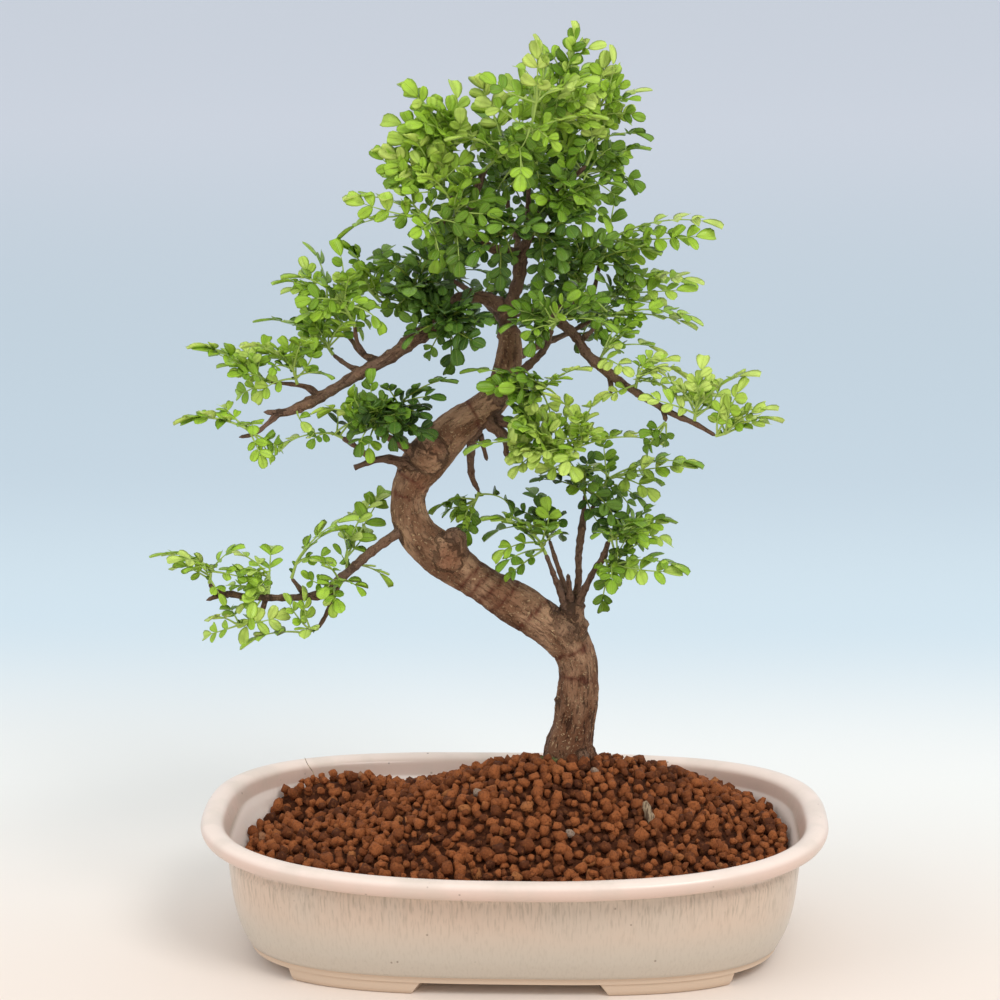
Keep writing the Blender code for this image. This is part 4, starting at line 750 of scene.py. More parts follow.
@dataclass(frozen=True)
class Netting:
    """The black netting over a drain hole."""

    dark: Color = (0.02, 0.022, 0.022)
    worn: Color = (0.07, 0.068, 0.062)

    def make(self) -> Material:
        """Builds the material from Object coordinates.

        Returns:
            The material.
        """
        made, graph, skin = new_material("drain_netting", roughness=0.55)
        place = graph.here()
        dust = graph.patches(place, 600.0, 3.0, 0.42, 0.62)
        graph.paint(skin, graph.blend(dust, self.dark, self.worn))
        graph.bump(skin, graph.relief(place, 900.0, 3000.0, 0.4), 0.00015)
        return made


def new_material(
    name: str, roughness: float, coat: float = 0.0, coat_roughness: float = 0.1,
) -> tuple[Material, Graph, bpy.types.Node]:
    """Starts a material whose even values sit on the shader itself.

    Args:
        name: the material's name.
        roughness: the value where nothing feeds it.
        coat: the clear coat's weight.
        coat_roughness: the clear coat's roughness.

    Returns:
        The material, a graph on its tree, and its Principled shader.
    """
    made = bpy.data.materials.new(name)
    made.use_nodes = True
    graph = Graph(made.node_tree)
    skin = made.node_tree.nodes["Principled BSDF"]
    skin.inputs["Roughness"].default_value = roughness
    skin.inputs["Coat Weight"].default_value = coat
    skin.inputs["Coat Roughness"].default_value = coat_roughness
    return made, graph, skin


def outline(inset: float, turn: float, rim: float = 0.0) -> tuple[float, float]:
    """The point of the pot's oval, this far inside the rim's outline.

    Args:
        inset: millimetres inside the rim's outline.
        turn: the angle in radians.
        rim: 0 for the wall's plan, which is squarer, up to 1 for the rim's.

    Returns:
        The place (x, y) in the pot's own millimetres.
    """
    c, s = math.cos(turn), math.sin(turn)
    power = 2.0 / (WALL_POWER + rim * (RIM_POWER - WALL_POWER))
    x = (POT_WIDTH / 2 - inset) * math.copysign(abs(c) ** power, c)
    y = (POT_DEPTH / 2 - inset) * math.copysign(abs(s) ** power, s)
    return x, y


def on_level(inset: float, z: float, turn: float, inside: bool = False) -> tuple[float, float, float]:
    """The place on a level of the pot, whose rim rises a little towards the pot's ends.

    Args:
        inset: millimetres inside the rim's outline.
        z: the level's height at the middle of the pot.
        turn: the angle in radians.
        inside: whether the level is one of the flared inner wall.

    Returns:
        The place (x, y, z).
    """
    low, high = INNER_CHANGE if inside else OUTER_CHANGE
    rim = min(1.0, max(0.0, (z - low) / (high - low)))
    x, y = outline(inset, turn, rim)
    return x, y, z + rim * RIM_RISE * (2 * x / POT_WIDTH) ** 2


def turns(count: int) -> list[float]:
    """Evenly spaced angles of a full turn, in radians."""
    return [2 * math.pi * i / count for i in range(count)]


@dataclass
class Pot:
    """The shallow glazed oval pot, with a rolled lip, a foot ring, four feet and two drain holes."""

    sides: int = 192
    step: float = 1.0
    wobble: float = 0.16
    wobble_pitch: float = 0.021
    profile: tuple[Row, ...] = (
        (16.4, 1.9), (16.3, 3.4), (16.1, 3.9), (15.3, 4.2), (14.7, 5.4), (13.5, 8.0), (12.5, 10.6),
        (11.7, 13.6), (10.8, 18.0), (10.1, 23.0), (9.5, 29.0), (9.1, 32.2), (7.4, 34.2), (3.6, 34.7),
        (1.1, 35.9), (0, 38.3), (0.8, 40.3), (2.9, 41.2), (5.2, 41.0), (7.4, 39.5), (9.5, 35.5),
        (11.6, 31.5), (14.1, 22.5), (16.6, 13.5), (18.2, 9.0), (21.0, 7.0))
    foot_outer: float = 16.9
    foot_top: float = 2.7
    foot_slope: float = 1.6
    foot_rounding: float = 6.0
    foot_from: float = 41.5
    foot_to: float = 80.0
    foot_section: tuple[Row, ...] = (
        (0.0, 2.7), (0.15, -0.6), (0.5, -1.9), (1.2, -2.5), (10.8, -2.5), (11.5, -1.9), (11.85, -0.6),
        (12.0, 2.7))
    foot_steps: int = 22
    drain_radius: float = 6.5
    drain_levels: tuple[float, float] = (0.9, 8.0)

    def shell(self) -> Piece:
        """Makes the body of the pot as one closed skin, very slightly uneven as thrown clay is.

        Returns:
            The body.
        """
        rings = []
        rows = smooth_rows(self.profile, self.step)
        top = max(range(len(rows)), key=lambda k: rows[k][1])
        for k, (inset, z) in enumerate(rows):
            level = []
            for turn in turns(self.sides):
                x, y, z_here = on_level(inset, z, turn, k > top)
                sway = noise.noise(Vector((x * self.wobble_pitch, y * self.wobble_pitch, z * 0.06)))
                lift = noise.noise(Vector((x * 0.03, y * 0.03, 7.0)))
                scale = 1 - self.wobble * abs(sway) / 100
                sunk = self.wobble * abs(lift) * soft_step(z, 20, 38)
                level.append(at(x * scale, y * scale, z_here - sunk))
            rings.append(level)
        return mesh_object("pot_body", *loft(rings))

    def foot(self, middle: float) -> Piece:
        """Makes one low foot that follows the oval, with softened edges and sloping ends.

        Args:
            middle: where the foot's middle is on the oval, in degrees.

        Returns:
            The foot.
        """
        half = (self.foot_to - self.foot_from) / 2
        rings = []
        for step in range(self.foot_steps + 1):
            share = 2.0 * step / self.foot_steps - 1.0
            level = []
            for inset, z in self.foot_section:
                drop = (self.foot_top - z) / (self.foot_top + POT_LIFT)
                rounding = self.foot_rounding * max(0.0, abs(share) - 0.9)
                narrowing = self.foot_slope * drop + rounding * drop
                turn = math.radians(middle + share * (half - narrowing))
                level.append(at(*outline(self.foot_outer + inset, turn), z))
            rings.append(level)
        return mesh_object("foot", *loft(rings))

    def drain(self, x: float) -> Piece:
        """Makes the round cutter of a drain hole.

        Args:
            x: where the hole is along the pot.

        Returns:
            The cutter.
        """
        rings = [
            [at(x + self.drain_radius * math.cos(t), self.drain_radius * math.sin(t), z) for t in turns(48)]
            for z in self.drain_levels
        ]
        return mesh_object("drain", *loft(rings))

    def build(self) -> None:
        """Makes the pot, dresses it and puts it in the place of its solid."""
        pot = self.shell()
        corner = (self.foot_from + self.foot_to) / 2
        feet = [self.foot(turn) for turn in (corner, 180 - corner, 180 + corner, 360 - corner)]
        combine(pot, feet, Join.ADD)
        combine(pot, [self.drain(-DRAIN_OFFSET), self.drain(DRAIN_OFFSET)], Join.CUT)
        pot.data.shade_smooth()
        pot.data.set_sharp_from_angle(angle=math.radians(50))
        finish_piece(pot, Glaze().make(), "pot")
        netting = Netting().make()
        for side in ("drain_screen_left", "drain_screen_right"):
            for slot in frame["nodes"][side].material_slots:
                slot.material = netting


def finish_piece(piece: Piece, finish: Material, replaced: str = "") -> None:
    """Dresses a finished piece and ties it to the body.

    Args:
        piece: the object, at the origin and with no modifiers left.
        finish: its material.
        replaced: the node that it stands for, if any.
    """
    piece.data.materials.clear()
    piece.data.materials.append(finish)
    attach(piece, BODY)
    if replaced:
        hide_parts(replaced)
    LOG.info("%s: %d faces", piece.name, len(piece.data.polygons))


@dataclass(frozen=True)
class Clay:
    """The granules' finish: red-brown fired clay, tinted grain by grain, dusty and pitted."""

    dark: Color = (0.078, 0.022, 0.008)
    brown: Color = (0.225, 0.066, 0.020)
    red: Color = (0.360, 0.112, 0.035)
    orange: Color = (0.40, 0.150, 0.050)
    grey: Color = (0.34, 0.26, 0.20)

    def make(self) -> Material:
        """Builds the material from Object coordinates and the grain's own tint.

        Returns:
            The material.
        """
        made, graph, skin = new_material("red_brown_granules", roughness=0.92)
        place = graph.here()
        tint = graph.kept("tint")
        shade = self.dark
        for low, high, color in ((0.0, 0.35, self.brown), (0.3, 0.8, self.red), (0.95, 0.985, self.orange),
                                 (0.992, 0.996, self.grey)):
            shade = graph.blend(graph.rise(tint, low, high), shade, color)
        dust = graph.patches(place, 900.0, 4.0, 0.5, 0.7)
        shade = graph.blend(graph.times(dust, 0.35), shade, self.orange)
        pits = graph.patches(place, 1500.0, 3.0, 0.52, 0.64)
        shade = graph.blend(graph.times(pits, 0.45), shade, self.dark)
        graph.paint(skin, shade)
        graph.feed(skin.inputs["Roughness"], graph.plus(graph.times(dust, 0.1), 0.82))
        graph.bump(skin, graph.relief(place, 700.0, 2600.0, 0.5), 0.0009)
        skin.inputs["Specular IOR Level"].default_value = 0.2
        return made


@dataclass
class Granules:
    """The filling: a bed over the pot's floor, and loose granules heaped on it in layers."""

    sides: int = 192
    rows_in: int = 46
    depth: float = 1.9
    wall: tuple[Row, ...] = ((21.4, 7.4), (17.0, 13.9), (14.5, 22.5))
    flare: tuple[Row, ...] = ((16.6, 13.5), (11.6, 31.5), (7.4, 39.5))
    wall_gap: float = 0.4
    level: float = 26.7
    heaps: tuple[Row, ...] = (
        (28.7, 7, 3.5, 57.5, 51), (10.3, -66.5, 41, 25.5, 7.6), (8.7, 53.5, 26, 35.5, 31.5))
    trunk: tuple[float, float] = (18.0, 20.0)
    hole: float = 9.0
    hole_floor: float = 37.7
    screen_room: float = 10.35
    screen_levels: tuple[float, float] = (6.0, 8.7)
    roughness: float = 0.7
    layer_gap: float = 1.9
    lump_points: int = 22
    lump_reach: tuple[float, float] = (0.76, 1.17)
    lump_sizes: tuple[float, float] = (1.5, 3.2)
    mostly_small: float = 1.7
    densest: float = 260000.0
    layers: tuple[tuple[str, float, float, int], ...] = (
        ("granules_low", 3.5, -0.5, 11), ("granules_top", 4.0, 1.0, 23))
    shapes: int = 7

    def mound(self, x: float, y: float) -> float:
        """Works out how high the granules are heaped at a place in the pot.

        Args:
            x: the place along the pot.
            y: the place across it.

        Returns:
            The height.
        """
        return self.level + sum(
            height * math.exp(-((x - mid_x) / wide) ** 2 - ((y - mid_y) / deep) ** 2)
            for height, mid_x, mid_y, wide, deep in self.heaps)

    def on_wall(self, turn: float, height: float, gap: float) -> Vector:
        """Finds a place on the pot's inner wall.

        Args:
            turn: the angle in radians.
            height: the place's height.
            gap: how far inside the wall it is.

        Returns:
            The place.
        """
        levels = [Vector(on_level(inset + gap, z, turn, True)) for inset, z in self.flare]
        lower, upper = levels[:2] if height < levels[1].z else levels[1:]
        return lower.lerp(upper, (height - lower.z) / (upper.z - lower.z))

    def top_rings(self, edge: float) -> list[list[Vector]]:
        """Sets out the bed's top, from the wall in to the trunk's hole.

        Args:
            edge: how far inside the wall the top begins.

        Returns:
            The places round each level.
        """
        rings = []
        for row in range(self.rows_in + 1):
            share = row / self.rows_in
            level = []
            for turn in turns(self.sides):
                place = self.mound(*outline(self.flare[1][0], turn)) - self.depth
                far = self.on_wall(turn, place, edge).xy
                near = Vector(self.trunk) + self.hole * Vector((math.cos(turn), math.sin(turn)))
                x, y = far.lerp(near, share)
                rough = noise.noise(Vector((x * 0.35, y * 0.35, 2.0))) * self.roughness
                level.append(at(x, y, self.mound(x, y) - self.depth + rough))
            rings.append(level)
        return rings

    def bed(self, finish: Material) -> None:
        """Makes the body of the filling, with a hole for the trunk and room for the netting.

        Args:
            finish: the granules' material.
        """
        rings = [[at(*outline(inset, turn), z) for turn in turns(self.sides)] for inset, z in self.wall]
        rings += self.top_rings(self.wall_gap)
        x, y = self.trunk
        rings.append([at(x + self.hole * math.cos(t), y + self.hole * math.sin(t), self.hole_floor)
                      for t in turns(self.sides)])
        bed = mesh_object("granule_bed", *loft(rings))
        cutters = []
        for side in (-DRAIN_OFFSET, DRAIN_OFFSET):
            levels = [[at(side + a * self.screen_room, b * self.screen_room, z)
                       for a, b in ((-1, -1), (1, -1), (1, 1), (-1, 1))] for z in self.screen_levels]
            cutters.append(mesh_object("room", *loft(levels)))
        combine(bed, cutters, Join.CUT)
        bed.data.shade_smooth()
        finish_piece(bed, finish, "soil")

    def nuggets(self) -> bpy.types.Collection:
        """Makes the angular lumps, about a millimetre in half-width, that the layers are made of.

        Returns:
            A collection of the lumps.
        """
        draw = random.Random(31)
        group = bpy.data.collections.new("nuggets")
        for k in range(self.shapes):
            shape = bmesh.new()
            for _ in range(self.lump_points):
                shape.verts.new(any_way(draw) * draw.uniform(*self.lump_reach) * MM)
            flatness = (1.0, draw.uniform(0.72, 0.95), draw.uniform(0.6, 0.85))
            bmesh.ops.scale(shape, vec=flatness, verts=shape.verts)
            found = bmesh.ops.convex_hull(shape, input=shape.verts)
            loose = list({g for g in found["geom_interior"] + found["geom_unused"]
                          if isinstance(g, bmesh.types.BMVert)})
            bmesh.ops.delete(shape, geom=loose, context="VERTS")
            bmesh.ops.recalc_face_normals(shape, faces=shape.faces)
            mesh = bpy.data.meshes.new(f"nugget_{k}")
            shape.to_mesh(mesh)
            shape.free()
            mesh.shade_smooth()
            group.objects.link(bpy.data.objects.new(f"nugget_{k}", mesh))
        return group

    def scatter_tree(self, group: bpy.types.Collection, finish: Material) -> bpy.types.NodeTree:
        """Builds the geometry nodes that scatter lumps over a surface, by pitch, lift, size and seed.

        Args:
            group: the lumps.
            finish: the granules' material.

        Returns:
            The tree.
        """
        graph, source = start_tree("scatter_granules", {
            "Surface": "Geometry", "Pitch": "Float", "Lift": "Float", "Smallest": "Float",
            "Largest": "Float", "Seed": "Int"})
        spread = graph.add("GeometryNodeDistributePointsOnFaces", {
            "Mesh": source["Surface"], "Distance Min": source["Pitch"], "Density Max": self.densest,
            "Seed": source["Seed"]}, distribute_method="POISSON")
        lift = graph.add("ShaderNodeCombineXYZ", {"Z": source["Lift"]}).outputs[0]
        wander = graph.add("FunctionNodeRandomValue", {
            0: (-0.0003, -0.0003, -0.0004), 1: (0.0003, 0.0003, 0.0005), "Seed": 5}, data_type="FLOAT_VECTOR")
        shift = graph.add("ShaderNodeVectorMath", {0: lift, 1: wander.outputs[0]}, operation="ADD").outputs[0]
        lifted = graph.add("GeometryNodeSetPosition", {"Geometry": spread.outputs["Points"], "Offset": shift})
        tint = graph.add("FunctionNodeRandomValue", {2: 0.0, 3: 1.0, "Seed": 8}, data_type="FLOAT")
        tinted = graph.add("GeometryNodeStoreNamedAttribute", {
            "Geometry": lifted.outputs[0], "Name": "tint", "Value": tint.outputs[1]})
        turn = graph.add("FunctionNodeRandomValue", {
            0: (0.0,) * 3, 1: (6.28,) * 3, "Seed": 13}, data_type="FLOAT_VECTOR")
        chance = graph.add("FunctionNodeRandomValue", {2: 0.0, 3: 1.0, "Seed": 17}, data_type="FLOAT")
        size = graph.add("ShaderNodeMapRange", {
            "Value": graph.math("POWER", chance.outputs[1], self.mostly_small), "To Min": source["Smallest"],
            "To Max": source["Largest"]})
        pool = graph.add("GeometryNodeCollectionInfo", {
            "Collection": group, "Separate Children": True, "Reset Children": True})
        placed = graph.add("GeometryNodeInstanceOnPoints", {
            "Points": tinted.outputs[0], "Instance": pool.outputs[0], "Pick Instance": True,
            "Rotation": turn.outputs[0], "Scale": size.outputs["Result"]})
        return graph.dress(placed.outputs[0], finish)

    def build(self) -> None:
        """Makes the bed and the layers of loose granules."""
        finish = Clay().make()
        self.bed(finish)
        tree = self.scatter_tree(self.nuggets(), finish)
        for name, pitch, lift, seed in self.layers:
            rings = self.top_rings(self.layer_gap)[:-1]
            count = self.sides
            faces = [(r * count + i, r * count + (i + 1) % count, (r + 1) * count + (i + 1) % count,
                      (r + 1) * count + i) for r in range(len(rings) - 1) for i in range(count)]
            layer = mesh_object(name, [v for level in rings for v in level], faces)
            smallest, largest = self.lump_sizes
            run_tree(layer, tree, {"Pitch": pitch * MM, "Lift": (self.depth + lift) * MM,
                                   "Smallest": smallest, "Largest": largest, "Seed": seed})
            finish_piece(layer, finish)


def start_tree(name: str, inputs: dict[str, str]) -> tuple[Graph, bpy.types.NodeOutputs]:
    """Starts a geometry tree.

    Args:
        name: the tree's name.
        inputs: the name and kind of each input.

    Returns:
        A graph on the tree, and its inputs' sockets.
    """
    tree = bpy.data.node_groups.new(name, "GeometryNodeTree")
    for key, kind in inputs.items():
        tree.interface.new_socket(key, in_out="INPUT", socket_type="NodeSocket" + kind)
    tree.interface.new_socket("Pieces", in_out="OUTPUT", socket_type="NodeSocketGeometry")
    graph = Graph(tree)
    return graph, graph.add("NodeGroupInput").outputs


def run_tree(piece: Piece, tree: bpy.types.NodeTree, sizes: dict[str, float | int]) -> None:
    """Runs a geometry tree on a piece and keeps the result as its plain mesh.

    Args:
        piece: the object that the tree starts from.
        tree: the tree, whose inputs are found by name.
        sizes: values for the named inputs.
    """
    modifier = piece.modifiers.new("tree", "NODES")
    modifier.node_group = tree
    sockets = {s.name: s.identifier for s in tree.interface.items_tree if s.in_out == "INPUT"}
    for name, value in sizes.items():
        modifier[sockets[name]] = value
    apply_modifiers(piece)


@dataclass(frozen=True)
class Bark:
    """The wood's finish: brown flaking bark, darker at the foot and greyer on the young twigs."""

    trunk_light: Color = (0.430, 0.258, 0.155)
    trunk_mid: Color = (0.185, 0.093, 0.050)
    foot: Color = (0.135, 0.050, 0.022)
    twig: Color = (0.165, 0.104, 0.074)
    crack: Color = (0.030, 0.014, 0.009)
    flake: Color = (0.56, 0.38, 0.22)
    rust: Color = (0.200, 0.065, 0.028)
    ring: Color = (0.100, 0.022, 0.012)
    cut: Color = (0.62, 0.50, 0.34)

    def make(self) -> Material:
        """Builds the material from the bark coordinates, girth and cut ends kept on the mesh.

        Returns:
            The material.
        """
        made, graph, skin = new_material("grey_brown_bark", roughness=0.85)
        place = graph.here()
        around = graph.kept("bark", "Vector")
        girth, cut, scar = (graph.kept(name) for name in ("girth", "cut", "scar"))
        long = graph.drawn_out(around, 0.42)
        thick = graph.rise(girth, 1.2, 5.0)
        mottle = graph.patches(long, 170.0, 5.0, 0.38, 0.64)
        height = graph.add("ShaderNodeSeparateXYZ", {0: place}).outputs["Z"]
        low = graph.flip(graph.rise(height, 0.058, 0.102))
        shade = graph.blend(mottle, self.trunk_mid, self.trunk_light)
        shade = graph.blend(graph.times(low, 0.80), shade, self.foot)
        twig = graph.blend(graph.times(mottle, 0.45), self.twig, self.trunk_mid)
        shade = graph.blend(thick, twig, shade)
        veins = graph.drawn_out(around, 0.20)
        cracks = graph.patches(veins, 900.0, 5.0, 0.55, 0.66)
        depth = graph.plus(graph.times(low, 0.42), 0.34)
        shade = graph.blend(graph.times(cracks, depth), shade, self.crack)
        pores = graph.patches(around, 1100.0, 3.0, 0.57, 0.68)
        shade = graph.blend(graph.times(pores, 0.55), shade, self.crack)
        flakes = graph.patches(around, 1150.0, 2.0, 0.60, 0.66)
        amount = graph.plus(graph.times(thick, 0.55), 0.2)
        shade = graph.blend(graph.times(flakes, amount), shade, self.flake)
        for spot, reach, share in RUST_SPOTS:
            away = graph.add("ShaderNodeVectorMath", {0: place, 1: tuple(at(*spot))}, operation="DISTANCE")
            far = graph.rise(away.outputs["Value"], reach * 0.35 * MM, reach * MM)
            spread = graph.plus(graph.times(mottle, 0.5 * share), 0.2 * share)
            shade = graph.blend(graph.times(graph.flip(far), spread), shade, self.rust)
        shade = graph.blend(graph.times(scar, 0.85), shade, self.ring)
        shade = graph.blend(cut, shade, self.cut)
        graph.paint(skin, shade)
        graph.feed(skin.inputs["Roughness"], graph.plus(graph.times(cracks, 0.12), 0.7))
        skin.inputs["Specular IOR Level"].default_value = 0.18
        relief = graph.relief(long, 700.0, 2100.0, 0.5)
        height = graph.math("SUBTRACT", relief, graph.times(cracks, graph.plus(depth, 0.1)))
        height = graph.plus(height, graph.times(flakes, 0.25))
        graph.bump(skin, height, 0.0011)
        return made


@dataclass
class Stem:
    """One length of wood as a closed skin with node swellings, fissures and ring scars.

    It keeps its rings' places, so that the fused wood can tell how far along and round it a point is.
    """

    name: str
    points: Sequence[Row]
    sides: int
    step: float
    seed: int
    node_pitch: float = 5.0
    swelling: float = 0.24
    rough: float = 0.05
    blunt: bool = False
    slim: float = 0.32
    collar: float = 0.28
    collar_reach: float = 4.5
    rows: list[Vector] = field(default_factory=list)
    frames: list[tuple[Vector, Vector]] = field(default_factory=list)
    way: list[float] = field(default_factory=list)
    scars: list[float] = field(default_factory=list)

    def prepare(self) -> None:
        """Samples the centre line, and sets out the nodes and the directions of each ring."""
        draw = random.Random(self.seed)
        self.rows = smooth_rows(self.points, self.step)
        side = None
        place = draw.uniform(2, self.node_pitch)
        total = 0.0
        for k, row in enumerate(self.rows):
            after = self.rows[min(k + 1, len(self.rows) - 1)].to_3d()
            before = self.rows[max(k - 1, 0)].to_3d()
            along = (after - before).normalized()
            side = along.orthogonal().normalized() if side is None else side
            side = (side - along * side.dot(along)).normalized()
            self.frames.append((side, along.cross(side)))
            total += (row.to_3d() - before).length if k else 0.0
            self.way.append(total)
        while place < total:
            self.scars.append(place)
            place += self.node_pitch * draw.uniform(0.6, 1.5)

    def swell(self, k: int, turn: float) -> float:
        """Works out how much fuller or thinner the stem is than its plain radius.

        Args:
            k: the ring's number.
            turn: the angle round the ring, in radians.

        Returns:
            The factor on the radius.
        """
        row, s = self.rows[k], self.way[k]
        r = row[3]
        grain = Vector((math.cos(turn) * r * 0.55, math.sin(turn) * r * 0.55, s * 0.10 + self.seed * 3.1))
        lumps = noise.noise(grain * 0.45) * 0.10
        ribs = (1 - abs(noise.noise(grain * 1.5)) * 2.2) * self.rough * soft_step(r, 1.0, 5.0)
        fine = noise.noise(Vector((grain.x * 3, grain.y * 3, s * 0.8))) * (0.03 if r > 3 else 0.11)
        nodes = sum(bell(s, scar, 0.7 + 0.1 * r) for scar in self.scars)
        return 1 + lumps - abs(ribs) * 0.5 + fine + self.swelling * min(1.0, nodes)

    def skin(self) -> Piece:
        """Makes the stem's closed mesh, thin twigs slimmed and its end rounded unless it is blunt.

        Returns:
            The stem.
        """
        self.prepare()
        last = len(self.rows) - 1
        rings = []
        for k, row in enumerate(self.rows):
            side, other = self.frames[k]
            to_end = self.way[last] - self.way[k]
            girth = row[3] * (1 - self.slim * (1 - soft_step(row[3], 1.0, 3.4)))
            dome = 1 - (1 - min(1.0, to_end / row[3])) ** 2
            end = 1.0 if self.blunt else math.sqrt(max(0.04, min(1.0, dome)))
            level = []
            for turn in turns(self.sides):
                radius = girth * self.swell(k, turn) * end * self.flare(k, turn)
                out = math.cos(turn) * side + math.sin(turn) * other
                level.append(at(*(row.to_3d() + radius * out)))
            rings.append(level)
        return mesh_object(self.name, *loft(rings))

    def flare(self, k: int, turn: float) -> float:
        """Extra girth where a branch leaves its parent."""
        return 1 + self.collar * math.exp(-(self.way[k] / self.collar_reach) ** 2)


@dataclass
class Trunk(Stem):
    """The main stem, whose foot spreads in root ribs above the granules."""

    ribs: int = 5
    swelling: float = -0.035
    rings: tuple[Row, ...] = (
        (-15, 13, 120), (-11.5, 13, 118), (-8.6, 13.3, 116), (-4, 14, 113), (-33.5, 12, 153),
        (-35.8, 12, 147), (6, 15, 106.5), (18.6, 16.5, 94), (20.7, 17, 84), (-14, 13.5, 174))

    def prepare(self) -> None:
        """Sets the ring scars where the photograph shows them."""
        super().prepare()
        self.scars = []
        for mark in self.rings:
            nearest = min(range(len(self.rows)), key=lambda k: (self.rows[k].to_3d() - Vector(mark)).length)
            self.scars.append(self.way[nearest])

    def flare(self, k: int, turn: float) -> float:
        """Shapes the root ribs near the ground, which are gone by the first bend.

        Args:
            k: the ring's number.
            turn: the angle round the ring, in radians.

        Returns:
            The factor on the radius.
        """
        z = self.rows[k][2]
        low = 1 - soft_step(z, 56, 74)
        buried = soft_step(z, 46, 56)
        rib = 0.5 + 0.5 * math.cos(self.ribs * turn + 0.9 + 0.04 * z)
        return 1 + low * buried * 0.13 * rib ** 1.5 - low * 0.05 * (1 - rib)


@dataclass
class Wood:
    """The trunk, branches and twigs, fused into one piece."""

    cuts: tuple[str, ...] = ("cut_knob", "bend_knob", "crown_cut", "left_stub")
    ring_width: float = 0.62
    branch_scars: float = 0.12
    stems: list[Stem] = field(default_factory=list)

    def knots(self) -> Iterable[Stem]:
        """Makes the short swellings on the trunk where old branches were taken off.

        Returns:
            The swellings, one stem each.
        """
        for k, (x, y, z, dx, dy, dz, r) in enumerate(KNOTS):
            points = [(x, y, z, r), (x + dx * 0.6, y + dy * 0.6, z + dz * 0.6, r * 0.95),
                      (x + dx, y + dy, z + dz, r * 0.6)]
            yield Stem(f"knot_{k}", points, 20, 0.7, 400 + k, node_pitch=50.0, swelling=0.1, rough=0.22)

    def build(self) -> None:
        """Makes every stem, fuses them, marks the bark and puts it in place of the solid."""
        trunk = Trunk("trunk", WOOD["trunk"][1], sides=48, step=1.1, seed=1)
        self.stems = [trunk]
        for seed, (name, (sides, points)) in enumerate(WOOD.items(), 2):
            if name == "trunk":
                continue
            count = SKIN_SIDES.get(sides, TWIG_SIDES)
            step = 1.2 if sides > 4 else 1.0
            self.stems.append(Stem(name, points, count, step, seed, blunt=name in self.cuts))
        self.stems += self.knots()
        skins = [stem.skin() for stem in self.stems]
        wood = skins[0]
        combine(wood, skins[1:], Join.FUSE)
        wood.name = "bark_wood"
        wood.data.shade_smooth()
        self.mark(wood)
        finish_piece(wood, Bark().make(), "wood")

    def mark(self, wood: Piece) -> None:
        """Keeps on each point its girth, its place round and along its stem, cut ends and ring scars.

        Args:
            wood: the fused wood, which gets the values as attributes.
        """
        rows = [(stem, k) for stem in self.stems for k in range(len(stem.rows))]

        def gap(index: int, away: float) -> float:
            """How far a point this far from a row is from that row's own skin."""
            stem, k = rows[index]
            return abs(away - stem.rows[k][3] * MM)

        tree = KDTree(len(rows))
        for i, (stem, k) in enumerate(rows):
            tree.insert(at(*stem.rows[k].to_3d()), i)
        tree.balance()
        kinds = {"girth": "FLOAT", "cut": "FLOAT", "scar": "FLOAT", "bark": "FLOAT_VECTOR"}
        for name, kind in kinds.items():
            wood.data.attributes.new(name, kind, "POINT")
        girth, cut, scar, bark = (wood.data.attributes[name] for name in kinds)
        for i, vert in enumerate(wood.data.vertices):
            _, index, _ = min(tree.find_n(vert.co, 10), key=lambda found: gap(found[1], found[2]))
            stem, k = rows[index]
            row, (side, other) = stem.rows[k], stem.frames[k]
            out = (vert.co - at(*row.to_3d())) / MM
            along = side.cross(other)
            s = stem.way[k] + out.dot(along)
            girth.data[i].value = row[3]
            bark.data[i].vector = Vector((out.dot(side), out.dot(other), s + 37.0 * (stem.seed % 7))) * MM
            end = stem.way[-1] - s
            flat = out.length < 0.82 * row[3] or end < -0.02
            cut.data[i].value = 1.0 if stem.blunt and end < 0.25 and flat else 0.0
            rings = sum(bell(s + out.dot(side) * 0.25, place, self.ring_width) for place in stem.scars)
            scar.data[i].value = min(1.0, rings) * (1.0 if stem is self.stems[0] else self.branch_scars)


@dataclass(frozen=True)
class DryFibre:
    """The finish of the dead twig and the stray fibre: pale wood with dark splits."""

    pale: Color = (0.40, 0.30, 0.19)
    split: Color = (0.11, 0.07, 0.04)

    def make(self) -> Material:
        """Builds the material from Object coordinates.

        Returns:
            The material.
        """
        made, graph, skin = new_material("dry_twig", roughness=0.9)
        long = graph.drawn_out(graph.here(), 0.2)
        graph.paint(skin, graph.blend(graph.patches(long, 1300.0, 4.0, 0.4, 0.62), self.pale, self.split))
        graph.bump(skin, graph.relief(long, 1200.0, 4000.0, 0.4), 0.0004)
        return made


@dataclass
class DryTwig:
    """A short dead twig that stands in the granules, split and frayed at its top."""

    points: tuple[Row, ...] = (
        (46.7, -16, 40, 1.35), (46.2, -16, 43, 1.3), (45, -16, 46.5, 1.25), (43.9, -15.7, 49.9, 1.05),
        (43.5, -15.6, 50.9, 0.7))

    def build(self) -> None:
        """Makes the twig and puts it in place of the solid."""
        stem = Stem("dry_stick", self.points, 14, 0.5, 77, node_pitch=3.5, rough=0.3, blunt=True, slim=0.0)
        finish_piece(stem.skin(), DryFibre().make(), "dry_twig")


class Age(Enum):
    """The two ages of leaf, by the record's material slot."""

    YOUNG = "young_leaves"
    OLD = "old_leaves"


